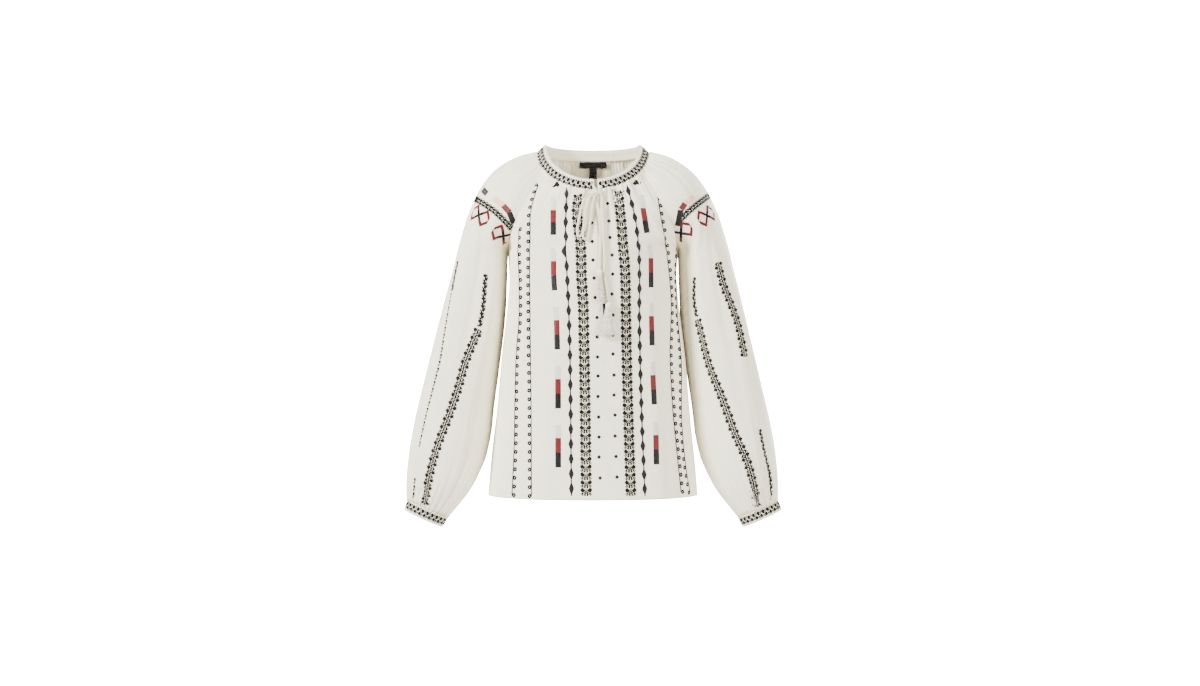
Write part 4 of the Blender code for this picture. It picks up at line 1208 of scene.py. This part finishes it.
def stitch_front(cloth):
    stitches = Threadwork()
    for side in ("left", "right"):
        cross_band(stitches, cloth, places_seen(cloth, FLORAL_LINES[side]), FLORAL_CHART, FLORAL_STITCH)
        stitch_chain(stitches, cloth, places_seen(cloth, CHAIN_LINES[side]))
        line_x, line_y = zip(*BAR_LINES[side])
        for top in BAR_REPEATS[side]:
            tall = BAR_TALL if top > BAR_REPEATS[side][0] else BAR_TALL_FIRST
            red_end, black_end = top + tall, top + 2 * tall
            spans = (("W", top - BAR_PALE, top - BAR_GAP), ("R", top, red_end), ("K", red_end, black_end))
            for letter, first, last in spans:
                pixels = [(np.interp(y, line_y, line_x), y) for y in np.linspace(first, last, 3)]
                satin_bar(stitches, cloth, places_seen(cloth, pixels), BAR_WIDTH, letter)
        for pixel in CENTRE_DOTS[side]:
            cross_motif(stitches, cloth, cloth.place_seen(pixel, CAMERA_AT), -UP, DOT_CHART, DOT_STITCH)
    for name, pixels in BUMP_LINES.items():
        stitch_bump_line(stitches, cloth, places_seen(cloth, pixels), BUMP_SIDE[name])
    for pixel in TREFOILS:
        cross_motif(stitches, cloth, cloth.place_seen(pixel, CAMERA_AT), -UP, TREFOIL_CHART, TREFOIL_STITCH)
    return stitches


def stitch_chain(stitches, cloth, places):
    """Pointed leaves that follow each other on a thin line."""
    satin_line(stitches, cloth, places, LINE_WIDTH)
    ends = course(cloth, places, CHAIN_SPACING)
    for first, last in zip(ends[:-1], ends[1:]):
        spare = (1 - CHAIN_LEAF / CHAIN_SPACING) / 2
        leaf = [first + (last - first) * share for share in (spare, 0.5, 1 - spare)]
        satin_leaf(stitches, cloth, leaf, CHAIN_WIDTH)


def stitch_bump_line(stitches, cloth, places, side):
    """A thin line with small rings along one of its sides."""
    satin_line(stitches, cloth, places, LINE_WIDTH)
    marks = course(cloth, places, BUMP_SPACING)
    ahead = unit(np.gradient(cloth.at(marks), axis=0))
    beside = unit(np.cross(ahead, cloth.normal(marks))) * side * BUMP_AWAY
    for place, move, forward in zip(cloth.reach(marks, beside), beside, ahead):
        cross_motif(stitches, cloth, place, forward, RING_CHART, BUMP_STITCH)


# The back repeats the front's lines. They are given by how many pixels each lies from the middle at each
# height of the picture, seen by a camera as far behind the blouse as the other is in front.
BACK_MIDDLE = 593.0
BACK_CAMERA = CAMERA_AT * np.array([1.0, -1.0, 1.0])
BACK_LINES = {
    "floral": ((13, 158), (17, 190), (20, 230), (22, 280), (24, 360), (27, 500)),
    "chain": ((24, 159), (30, 190), (36, 230), (40, 280), (43, 360), (47, 500)),
    "bars": ((35, 168), (43, 196), (51, 234), (57, 280), (62, 360), (67, 500)),
    "inner": ((42, 171), (53, 200), (65, 240), (74, 290), (80, 360), (84, 500)),
    "outer": ((75, 258), (84, 300), (90, 360), (95, 500)),
}
BACK_BARS = (("W", 0.0, 24.0), ("R", 25.0, 52.0), ("K", 52.0, 79.0))
BACK_BAR_LENGTH, BACK_BAR_REPEAT = 80.0, 108.0


def stitch_back(cloth):
    stitches = Threadwork()

    def line(name, side):
        return places_seen(cloth, [(BACK_MIDDLE + side * x, y) for x, y in BACK_LINES[name]], BACK_CAMERA)

    for side in (-1, 1):
        cross_band(stitches, cloth, line("floral", side), FLORAL_CHART, FLORAL_STITCH)
        stitch_chain(stitches, cloth, line("chain", side))
        stitch_bump_line(stitches, cloth, line("inner", side), -side)
        stitch_bump_line(stitches, cloth, line("outer", side), side)
        marks = course(cloth, line("bars", side), 1.0)
        for start in np.arange(0.0, len(marks) - BACK_BAR_LENGTH, BACK_BAR_REPEAT):
            for letter, first, last in BACK_BARS:
                bar = [marks[round(start + d)] for d in np.linspace(first, last, 3)]
                satin_bar(stitches, cloth, bar, BAR_WIDTH, letter)
    return stitches


def seen_through(cloth, pixels, mirror):
    """Places of a sleeve that the camera sees. The left sleeve is held mirrored, so the picture is too."""
    if mirror:
        pixels = [(2 * PICTURE_MIDDLE[0] - x - 2 * CAMERA_AT[0] / MM_PER_PIXEL, y) for x, y in pixels]
    return places_seen(cloth, pixels)


def stitch_sleeve(cloth, side):
    """A sleeve's lines, arm band, bars and hooked motifs. The far half of the arm repeats the near one."""
    stitches = Threadwork()
    columns = cloth.points.shape[1] - 1
    mirror = side == "left"

    def far(places):
        return [np.array([row, columns - column]) for row, column in places]

    for chart, pixels in SLEEVE_LINES[side]:
        places = seen_through(cloth, pixels, mirror)
        for run in (places, far(places)):
            cross_band(stitches, cloth, run, chart, SLEEVE_STITCH)
    band = seen_through(cloth, ARM_BAND[side], mirror)
    band = band + far(band)[::-1]
    cross_band(stitches, cloth, band, ARM_CHART)
    for letter, first, last in ARM_BARS[side]:
        places = seen_through(cloth, (first, last), mirror)
        if len(places) == 2:
            for run in (places, far(places)):
                satin_bar(stitches, cloth, run, BAR_WIDTH, letter)
    chart = hook_chart()
    for pixel in ARM_HOOKS[side]:
        for place in seen_through(cloth, (pixel,), mirror):
            across = np.array([0.0, 1.0])
            for spot in (place, far([place])[0]):
                forward = cloth.at(spot + across) - cloth.at(spot - across)
                cross_motif(stitches, cloth, spot, forward, chart, HOOK_STITCH)
    return stitches


SEAM_ALLOWANCE, SEAM_POINTS, SEAM_SIDES = 1.1, 150, 6


def seam_allowances():
    """The folded cloth edges inside the raglan and side seams, down one side of the blouse."""
    threads = Threadwork()
    runs = ((0.0, 1.0, -1), (0.0, 1.0, 1), (1.0, 2.0, -1))
    for start, end, facing in runs:
        row = np.linspace(start, end, SEAM_POINTS)
        line = seam_point(row, facing)
        middle = np.array([0.5, 0.0, 1.0]) * line
        inwards = unit(middle - line)
        if end > 1:
            inwards = np.broadcast_to(np.array([-1.0, 0.0, 0.0]), line.shape)
        threads.tube(line + SEAM_ALLOWANCE * inwards, SEAM_ALLOWANCE, SEAM_SIDES, "t")
    return threads


def dress_front(cloth, gauze):
    """The front in one shell that parts along the slit and is whole below it."""
    rows, columns = cloth.points.shape[:2]
    middle = columns // 2
    slit_end = round(SLIT_END_ROW * FRONT_GRID["upper"])
    down = np.arange(slit_end + 1) / slit_end
    opening = SLIT_HALF_TOP + (SLIT_HALF_MIDDLE - SLIT_HALF_TOP) * np.sin(math.pi * down)
    opening = opening * np.sqrt(np.clip(1 - down**6, 0, 1))
    edge = np.zeros(rows)
    edge[: slit_end + 1] = opening
    away = np.abs(np.arange(columns) - middle)
    push = edge[:, None] * np.exp(-((away / SLIT_SPREAD) ** 2))
    left, right = cloth.points.copy(), cloth.points.copy()
    left[:, : middle + 1, 0] -= push[:, : middle + 1]
    right[:, middle:, 0] += push[:, middle:]
    index = plain_index(cloth)
    split = Cloth(np.concatenate([left, right]), 1)
    split.normals = np.concatenate([cloth.normals, cloth.normals])
    right_index = index + index.size
    right_index[slit_end:, middle] = index[slit_end:, middle]
    grids = [(index[:, : middle + 1], index[:, : middle + 1]), (right_index[:, middle:], index[:, middle:])]
    return cloth_shell("front_cloth", split, grids, gauze)


# The neckband and cuffs: how far out their faces stand, from one edge to the other, and their fineness.
BAND_OUT, BAND_SEAT, BAND_CLOTH, SEAM_GAP = (0.9, 1.3, 0.5), -1.6, 2.2, 0.3
CUFF_SEAT = -1.6
CUFF_OUT = (0.9, 1.2, 0.3)
BAND_GRID = {"rows": 14, "columns": 420}
CUFF_GRID = {"rows": 12, "columns": 180}
BAND_SEED, CUFF_SEEDS = 51, {"right": 55, "left": 56}
BAND_UNEVEN, BAND_STITCH_FROM, BAND_PLACES = 0.25, 1.5, 13
PIPING_AT, PIPING_SPREAD, PIPING_OUT = 0.93, 0.07, 0.45
GROOVE_AT, GROOVE_SPREAD, GROOVE_DEPTH = 0.8, 0.035, 0.3
BAND_STITCH, BAND_CHART_MIDDLE = 1.3, 8.3
CUFF_STITCH, CUFF_CHART_MIDDLE = 1.18, 7.5
NECK_PICOTS, CUFF_PICOTS = 60, 25
PICOT_POINTS, PICOT_SIDES = 8, 5
PICOT_HEIGHT, PICOT_THREAD, PICOT_DIP, PICOT_OUT = 2.3, 0.6, 0.6, -0.4


def band_angles(count):
    """Angles round the neckband from the right side of the slit to its left side."""
    start = math.asin((SLIT_X_TOP + SLIT_HALF_BAND) / NECK_HALF_WIDTH)
    end = 2 * math.pi + math.asin((SLIT_X_TOP - SLIT_HALF_BAND) / NECK_HALF_WIDTH)
    return np.linspace(start, end, count)


def band_edge(angle, rise, out):
    """A line round the neckband, at a height above the neckline seam and a distance out from its face."""
    foot, top = neckline(angle), band_top(angle)
    upward = unit(top - foot)
    along = unit(np.gradient(foot, axis=0))
    outward = unit(np.cross(along, upward))
    return foot + rise[..., None] * upward + out[..., None] * outward


def band_height(angle):
    return np.linalg.norm(band_top(angle) - neckline(angle), axis=-1)


def band_face(share, outs, along, seed):
    """How far a band's face stands out at a share of its height. It is piped at its free edge."""
    piping = PIPING_OUT * math.exp(-(((share - PIPING_AT) / PIPING_SPREAD) ** 2))
    groove = GROOVE_DEPTH * math.exp(-(((share - GROOVE_AT) / GROOVE_SPREAD) ** 2))
    uneven = BAND_UNEVEN * crinkle(along, np.full(along.shape, share), seed)
    return np.interp(share, (0, 0.5, 1), outs) + piping - groove + uneven


def neckband_cloth():
    angle = band_angles(BAND_GRID["columns"] + 1)
    height = band_height(angle)
    loops = []
    for share in np.linspace(1, 0, BAND_GRID["rows"] + 1):
        out = band_face(share, BAND_OUT[::-1], angle, BAND_SEED)
        loops.append(band_edge(angle, BAND_SEAT + (height - BAND_SEAT) * share, out))
    return Cloth(np.stack(loops), 1)


def cuff_loop(turn, drop, grow):
    """A loop round the right wrist, at a distance below the sleeve's end."""
    end = {name: SLEEVE[name][-1] for name in SLEEVE}
    ridge = np.array([end["ridge_x"], end["middle_y"], end["ridge_z"]], float)
    inner = np.array([end["middle_x"], end["middle_y"], end["middle_z"]], float)
    across = unit(ridge - inner)
    axis = np.array([across[2], 0, -across[0]])
    grow = np.broadcast_to(grow, turn.shape)[:, None]
    drop = np.broadcast_to(drop, turn.shape)[:, None]
    half_width = np.linalg.norm(ridge - inner) / 2 + grow
    half_depth = end["half_depth"] + grow
    side = np.array([0.0, 1.0, 0.0])
    middle = (ridge + inner) / 2 + axis * drop
    return middle + half_width * across * np.cos(turn)[:, None] + half_depth * side * np.sin(turn)[:, None]


def cuff_cloth(seed):
    """The right cuff. Its last column lies on its first."""
    turn = np.linspace(-math.pi, math.pi, CUFF_GRID["columns"] + 1)
    loops = []
    for share in np.linspace(0, 1, CUFF_GRID["rows"] + 1):
        out = band_face(share, CUFF_OUT, turn, seed)
        out = out + (out[0] - out[-1]) * turn / (2 * math.pi)
        loops.append(cuff_loop(turn, CUFF_SEAT + (SEAM_GAP + CUFF_HEIGHT - CUFF_SEAT) * share, out))
    return Cloth(np.stack(loops), 1, closed=True)


def stitch_band(cloth, row, start, end, stitch):
    """The charted band round a neckband or cuff, between two of its columns."""
    threads = Threadwork()
    places = [(row, column) for column in np.linspace(start, end, BAND_PLACES)]
    cross_band(threads, cloth, places, BAND_CHART, stitch)
    return threads


def picot_edging(count, line_at):
    """A looped edging: a straight thread, and two wavy ones that stand up from it by turns.

    line_at gives the edging's points for shares of its length and heights above the edge.
    """
    threads = Threadwork()
    share = np.linspace(0, 1, count * PICOT_POINTS + 1)
    wave = np.sin(math.pi * count * share) ** 2
    tall = PICOT_THREAD + (PICOT_HEIGHT - PICOT_THREAD) * wave**0.8
    low = PICOT_THREAD + PICOT_DIP * (1 - wave)
    for height in (np.zeros_like(share), tall, low):
        threads.tube(line_at(share, height), PICOT_THREAD, PICOT_SIDES, "t")
    return threads


def neck_picots():
    start, end = band_angles(2)

    def line_at(share, height):
        angle = start + (end - start) * share
        rise = band_height(angle) + SEAM_GAP + height
        return band_edge(angle, rise, np.full(angle.shape, PICOT_OUT))

    return picot_edging(NECK_PICOTS, line_at)


def cuff_picots():
    def line_at(share, height):
        turn = math.pi * (2 * share - 1)
        return cuff_loop(turn, 2 * SEAM_GAP + CUFF_HEIGHT + height, PICOT_OUT)

    return picot_edging(CUFF_PICOTS, line_at)


# The knot lies on the cloth just below the slit's top. Each cord leaves it at an angle (0 is +X, 90 is
# up) and a share of its depth towards the front, then follows x, z and a distance out from the cloth.
KNOT = {"x": 8.2, "z": -81.0, "half_width": 5.8, "half_depth": 4.5, "half_height": 4.7}
KNOT_THREAD, KNOT_POINTS = 1.9, 90
CORDS = {
    "tie_root_left": {
        "leaves": (112, -0.1),
        "x": (3.0, 1.4, 0.8), "z": (-71.6, -69.6, -69.0), "out": (3.0, 1.2, -0.9),
    },
    "tie_root_right": {
        "leaves": (62, -0.1),
        "x": (13.4, 14.8, 15.2), "z": (-71.4, -69.2, -68.6), "out": (3.0, 1.2, -0.9),
    },
    "tie_loop_left": {
        "leaves": (163, -0.25),
        "x": (-6.5, -13.5, -20.0, -24.8, -27.4, -25.6, -20.6, -16.0, -13.0, -9.6, -4.8),
        "z": (-81.5, -90, -106, -129, -150, -160, -157, -141, -121, -104, -92.6),
        "out": (2.8, 2.2, 1.8, 1.4, 1.1, 1.0, 1.1, 1.4, 1.8, 2.2, 2.6),
        "returns": (208, -0.25),
    },
    "tie_loop_middle": {
        "leaves": (185, 0.66),
        "x": (-5.4, -10.8, -14.2, -16.6, -16.6, -11.8, -7.4, -4.4, -1.8, 1.2),
        "z": (-88.6, -105, -126, -149, -162, -166, -152, -132, -112, -96.5),
        "out": (8.6, 7.6, 6.8, 6.0, 4.0, 1.2, 1.0, 1.2, 1.8, 4.6),
        "returns": (234, 0.62),
    },
    "tie_end_left": {
        "leaves": (264, -0.1),
        "x": (8.4, 11.6, 14.2, 13.4, 11.9), "z": (-101, -129, -165, -192, -218.6),
        "out": (1.8, 1.3, 0.7, 0.7, 1.6),
    },
    "tie_end_right": {
        "leaves": (318, -0.1),
        "x": (16.4, 17.8, 19.2, 20.4, 20.8, 22.8, 25.6, 27.9),
        "z": (-101, -129, -156, -183, -219, -237, -258, -277.6),
        "out": (1.8, 1.3, 0.9, 0.7, 0.7, 0.7, 0.8, 1.6),
    },
}
CORD_DIAMETER, CORD_SIDES, CORD_STEP, CORD_FLATNESS = 4.2, 12, 1.5, 0.72
CORD_LEADS, CORD_CLEAR, CORD_SEED = (-2.0, 3.6), 0.2, 70
CORD_UNEVEN, CORD_WAVES = 0.12, 5
NECK_EDGE_Z = -76.0
TASSELS = {
    "tassel_left": {"x": 11.9, "z": -219.0, "lean": 0.075, "half_width": 6.5, "strands": 64, "seed": 61},
    "tassel_right": {"x": 27.9, "z": -278.0, "lean": 0.0, "half_width": 20.0, "strands": 96, "seed": 62},
}
TASSEL_HEAD_RADIUS, TASSEL_NECK_AT, TASSEL_LENGTH, TASSEL_FLATNESS = 5.0, -8.8, 59.0, 0.86
TASSEL_HEAD_POINTS, TASSEL_HEAD_SIDES, TASSEL_CLEAR = 16, 24, 0.3
TASSEL_DROPS, TASSEL_REACH = (0, 18, 36, 54), 9.0
WRAP_TURNS, WRAP_POINTS, WRAP_RADIUS, WRAP_TALL, WRAP_THREAD, WRAP_SIDES = 4, 97, 3.7, 2.56, 0.5, 5
SKIRT_POINTS, SKIRT_NECK, SKIRT_DEEPER, SKIRT_EASE = 12, 3.2, 1.3, 1.3
STRAND_THREAD, STRAND_SIDES = 0.42, 4
TASSEL_HEAD = {
    "row": (0.0, 0.8, 3.0, 5.5, 7.6, 8.8, 10.4),
    "radius": (1.5, 3.2, 4.7, 5.0, 4.2, 3.5, 3.9),
}


def tie_depth(front, x, z, out):
    """The y of a cord's middle that lies a distance out from the front's folds."""
    return front.nearest_depth(x, min(z, NECK_EDGE_Z)) - CORD_DIAMETER / 2 - out


def knot_centre(front):
    depth = front.nearest_depth(KNOT["x"], KNOT["z"]) - KNOT["half_depth"] - SEAM_GAP
    return np.array([KNOT["x"], depth, KNOT["z"]])


def knot_side(centre, angle, front_share, away):
    """A place at a distance off the knot's surface."""
    angle = math.radians(angle)
    round_share = math.sqrt(1 - front_share**2)
    form = np.array([KNOT["half_width"], KNOT["half_depth"], KNOT["half_height"]]) + away
    return centre + form * (math.cos(angle) * round_share, -front_share, math.sin(angle) * round_share)


def smooth_route(points, spacing):
    """Evenly spaced points on a smooth curve through a route's own points."""
    points = np.asarray(points, float)
    rows = np.concatenate([[0], np.cumsum(np.linalg.norm(np.diff(points, axis=0), axis=1))])
    table = {"row": rows, "x": points[:, 0], "y": points[:, 1], "z": points[:, 2]}
    at = np.linspace(0, rows[-1], max(4, round(rows[-1] / spacing) + 1))
    return np.stack([curve_of(table, axis, at) for axis in "xyz"], axis=-1)


def clear_of(cloth, path, away, reach=4):
    """The path, brought forward wherever it would lie nearer than this to the cloth behind it."""
    limit = np.array([cloth.nearest_depth(x, z, reach=2.0) for x, _, z in path]) - away
    spread = np.pad(limit, 2 * reach, mode="edge")
    nearest = np.min([spread[i : i + len(path) + 2 * reach] for i in range(2 * reach + 1)], axis=0)
    weights = np.hanning(2 * reach + 3)[1:-1]
    path = path.copy()
    path[:, 1] = np.minimum(path[:, 1], np.convolve(nearest, weights / weights.sum(), mode="valid"))
    return path


def cord_route(front, centre, route):
    near, off = CORD_LEADS
    points = [knot_side(centre, *route["leaves"], away) for away in (near, off)]
    stations = zip(route["x"], route["z"], route["out"])
    points.extend((x, tie_depth(front, x, z, out), z) for x, z, out in stations)
    if "returns" in route:
        points.extend(knot_side(centre, *route["returns"], away) for away in (off, near))
    return clear_of(front, smooth_route(points, CORD_STEP), CORD_DIAMETER / 2 + CORD_CLEAR)


def cord_tube(path, seed):
    """A soft cord of slightly uneven thickness."""
    rng = np.random.default_rng(seed)
    along = np.arange(len(path)) * CORD_STEP
    waves = sum(np.sin(along / rng.uniform(2, 12) + rng.uniform(0, 6)) for _ in range(CORD_WAVES))
    radius = CORD_DIAMETER / 2 * (1 + CORD_UNEVEN * waves / CORD_WAVES)
    threads = Threadwork()
    threads.tube(path, radius, CORD_SIDES, "c", flat=CORD_FLATNESS)
    return threads


def knot_threads(centre):
    """A flat three-looped knot of the same cord, pulled tight."""
    t = np.linspace(0, 2 * math.pi, KNOT_POINTS)
    form = np.stack([np.sin(t) + 2 * np.sin(2 * t), -np.sin(3 * t), np.cos(t) - 2 * np.cos(2 * t)], axis=-1)
    halves = np.array([KNOT["half_width"], KNOT["half_depth"], KNOT["half_height"]]) - KNOT_THREAD
    threads = Threadwork()
    threads.tube(centre + form / np.abs(form).max(axis=0) * halves, KNOT_THREAD, CORD_SIDES, "c")
    return threads


def tassel_threads(front, tassel):
    """A wrapped head with a bound neck, and a skirt of separate threads that fall from it."""
    rng = np.random.default_rng(tassel["seed"])
    x, z = tassel["x"], tassel["z"]
    below = min(front.nearest_depth(x, z - drop, reach=TASSEL_REACH) for drop in TASSEL_DROPS)
    top = np.array([x, below - TASSEL_HEAD_RADIUS * TASSEL_FLATNESS - TASSEL_CLEAR, z])
    flat = np.array([1.0, TASSEL_FLATNESS, 1.0])

    def hung(offsets):
        leaning = offsets - tassel["lean"] * offsets[:, 2:] * np.array([1.0, 0.0, 0.0])
        return top + leaning * flat

    threads = Threadwork()
    down = np.linspace(0, TASSEL_HEAD["row"][-1], TASSEL_HEAD_POINTS)
    head = hung(np.stack([0 * down, 0 * down, -down], axis=-1))
    threads.tube(head, curve_of(TASSEL_HEAD, "radius", down), TASSEL_HEAD_SIDES, "t")
    turn = np.linspace(0, 2 * math.pi * WRAP_TURNS, WRAP_POINTS)
    height = TASSEL_NECK_AT + WRAP_TALL * (turn / turn[-1] - 0.5)
    bound = np.stack([WRAP_RADIUS * np.cos(turn), WRAP_RADIUS * np.sin(turn), height], axis=-1)
    threads.tube(hung(bound), WRAP_THREAD, WRAP_SIDES, "t")
    t = np.linspace(0, 1, SKIRT_POINTS)
    ease = t**SKIRT_EASE
    wide = SKIRT_NECK + (tassel["half_width"] - SKIRT_NECK) * ease
    deep = SKIRT_NECK + SKIRT_DEEPER * ease
    for _ in range(tassel["strands"]):
        angle, share = rng.uniform(0, 2 * math.pi), math.sqrt(rng.uniform(0.02, 1))
        length = (TASSEL_LENGTH + TASSEL_NECK_AT) * rng.uniform(0.93, 1.0)
        sway = rng.uniform(0.2, 0.9) * np.sin(t * rng.uniform(3, 9) + rng.uniform(0, 6)) * t
        x = share * math.cos(angle) * wide + sway
        y = share * math.sin(angle) * deep
        strand = hung(np.stack([x, y, TASSEL_NECK_AT - length * t], axis=-1))
        threads.tube(strand, STRAND_THREAD, STRAND_SIDES, "t")
    return threads


# A wedge of dark thread that paints the deep shadow in the gap between the two tassels.
SHADOW_WEDGE = {
    "node": "tassel_left", "top": (604.2, 303.5), "foot": (603.6, 314.8),
    "half_width": 3.9, "half_end": 0.7, "taper": 0.7,
}
SHADOW_WEDGE_CLEAR, SHADOW_WEDGE_FLATNESS, SHADOW_WEDGE_POINTS = 4.5, 0.35, 12


def add_shadow_wedge(threads, front):
    """A narrow wedge of dark thread between the left tassel's foot and the right one's head. It is a painted
    shadow: it stands for the deep shade in the gap between the tassels.
    """
    t = np.linspace(0, 1, SHADOW_WEDGE_POINTS)[:, None]
    seen = picture_point(SHADOW_WEDGE["top"]) * (1 - t) + picture_point(SHADOW_WEDGE["foot"]) * t
    depth = min(front.nearest_depth(x, z) for x, _, z in seen) - SHADOW_WEDGE_CLEAR
    path = CAMERA_AT + (seen - CAMERA_AT) * (1 - depth / CAMERA_AT[1])
    narrowed = (SHADOW_WEDGE["half_end"] - SHADOW_WEDGE["half_width"]) * t[:, 0] ** SHADOW_WEDGE["taper"]
    threads.tube(path, SHADOW_WEDGE["half_width"] + narrowed, CORD_SIDES, "K", flat=SHADOW_WEDGE_FLATNESS)


def add_ties(front, looks):
    """The knot, both loops, both hanging ends and their tassels, in place of their solids."""
    centre = knot_centre(front)
    pieces = {"tie_knot": knot_threads(centre).piece("tie_knot_cord", looks)}
    for node, tassel in TASSELS.items():
        threads = tassel_threads(front, tassel)
        # The left tassel also carries the painted shadow wedge.
        if node == SHADOW_WEDGE["node"]:
            add_shadow_wedge(threads, front)
        pieces[node] = threads.piece(node + "_threads", looks)
    for number, (node, route) in enumerate(CORDS.items()):
        path = cord_route(front, centre, route)
        piece = cord_tube(path, CORD_SEED + number).piece(node + "_cord", looks)
        pieces[node] = piece
        if "root" in node:
            continue
        tassel = pieces.get(node.replace("tie_end", "tassel"))
    for node, piece in pieces.items():
        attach(piece, "root")
        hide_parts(node)


# The labels' half width as a share of the back panel's, and the rows that they run between.
LABEL_CLOTH, LABEL_INSIDE = 0.8, 2.9
LABEL_GRID = {"rows": 12, "columns": 32}
LABELS = {
    "label_main": {"across": 0.235, "top": 0.015, "bottom": 0.095},
    "label_size": {"across": 0.061, "top": 0.1, "bottom": 0.235},
}


def add_labels():
    look = label_look()
    for node, label in LABELS.items():
        places = np.linspace(-label["across"], label["across"], LABEL_GRID["columns"] + 1)
        rows = np.linspace(label["top"], label["bottom"], LABEL_GRID["rows"] + 1)
        across, row = np.meshgrid(places, rows)
        points = body_surface(across, row, 1)
        cloth = Cloth(points - LABEL_INSIDE * grid_normals(points, -1), -1)
        index = plain_index(cloth)
        piece = cloth_shell(node + "_ribbon", cloth, [(index, index)], look, sign=-1, thickness=LABEL_CLOTH)
        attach(piece, "root")
        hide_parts(node)


def thread_looks():
    looks = {}
    for letter, thread in THREADS.items():
        make = thread_look if letter.islower() else satin_look
        looks[letter] = make(thread["name"], thread["dark"], thread["bright"])
    looks["c"] = tie_look("tie_cotton", (200, 188, 160), (244, 236, 214), 7)
    looks["t"] = tie_look("cotton_thread", (232, 224, 204), (252, 248, 236), 3)
    return looks


PICOTS_OF = {
    "neckband": "neckband_picots", "cuff_left": "cuff_picots_left", "cuff_right": "cuff_picots_right",
}


def add_band(pieces, stitched, gauze, looks):
    """The neckband with its charted band and looped edging."""
    band = neckband_cloth()
    index = plain_index(band)
    pieces["neckband"] = cloth_shell("neckband_cloth", band, [(index, index)], gauze, thickness=BAND_CLOTH)
    row = BAND_GRID["rows"] * (1 - BAND_CHART_MIDDLE / BAND_RISE)
    threads = stitch_band(band, row, BAND_STITCH_FROM, BAND_GRID["columns"] - BAND_STITCH_FROM, BAND_STITCH)
    stitched["neckband"] = threads.piece("neckband_stitching", looks)
    stitched["neckband_picots"] = neck_picots().piece("neckband_picot_edging", looks)


def add_arm(side, sleeve, pieces, stitched, gauze, looks):
    """One sleeve and its cuff, with their stitching and looped edging. The left ones are mirrored."""
    mirror = side == "left"
    grids = [(closed_index(sleeve, SLEEVE_GRID["upper"]), plain_index(sleeve))]
    name = "sleeve_" + side
    pieces[name] = cloth_shell(name + "_cloth", sleeve, grids, gauze, mirror=mirror)
    stitched[name] = stitch_sleeve(sleeve, side).piece(name + "_stitching", looks, mirror=mirror)
    cuff = cuff_cloth(CUFF_SEEDS[side])
    grids = [(closed_index(cuff), plain_index(cuff))]
    name = "cuff_" + side
    pieces[name] = cloth_shell(name + "_cloth", cuff, grids, gauze, mirror=mirror, thickness=BAND_CLOTH)
    row = CUFF_GRID["rows"] * CUFF_CHART_MIDDLE / CUFF_HEIGHT
    threads = stitch_band(cuff, row, 0, CUFF_GRID["columns"], CUFF_STITCH)
    stitched[name] = threads.piece(name + "_stitching", looks, mirror=mirror)
    edging = cuff_picots().piece("cuff_picot_edging_" + side, looks, mirror=mirror)
    stitched["cuff_picots_" + side] = edging


def main():
    add_camera()
    gauze = gauze_look()
    looks = thread_looks()
    front, back = front_cloth(), back_cloth()
    sleeves = {side: sleeve_cloth(side, seed) for side, seed in SLEEVE_SEEDS.items()}
    add_ties(front, looks)
    add_labels()

    index = plain_index(back)
    pieces = {"front": dress_front(front, gauze)}
    pieces["back"] = cloth_shell("back_cloth", back, [(index, index)], gauze, sign=-1)
    stitched = {
        "front": stitch_front(front).piece("front_stitching", looks),
        "back": stitch_back(back).piece("back_stitching", looks),
    }
    add_band(pieces, stitched, gauze, looks)
    for side, sleeve in sleeves.items():
        add_arm(side, sleeve, pieces, stitched, gauze, looks)
    moves_with = {node: [stitched[node]] for node in pieces}
    for node, edging in PICOTS_OF.items():
        moves_with[node].append(stitched[edging])
    for side in sleeves:
        piece = seam_allowances().piece("seam_allowance_" + side, looks, mirror=side == "left")
        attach(piece, "root")
        moves_with["sleeve_" + side].append(piece)
    for node, piece in pieces.items():
        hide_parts(node)
        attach(piece, "root")
    for node, piece in stitched.items():
        if "picots" in node:
            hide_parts(node)
        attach(piece, "root")
    add_stage()
    add_lights()


main()
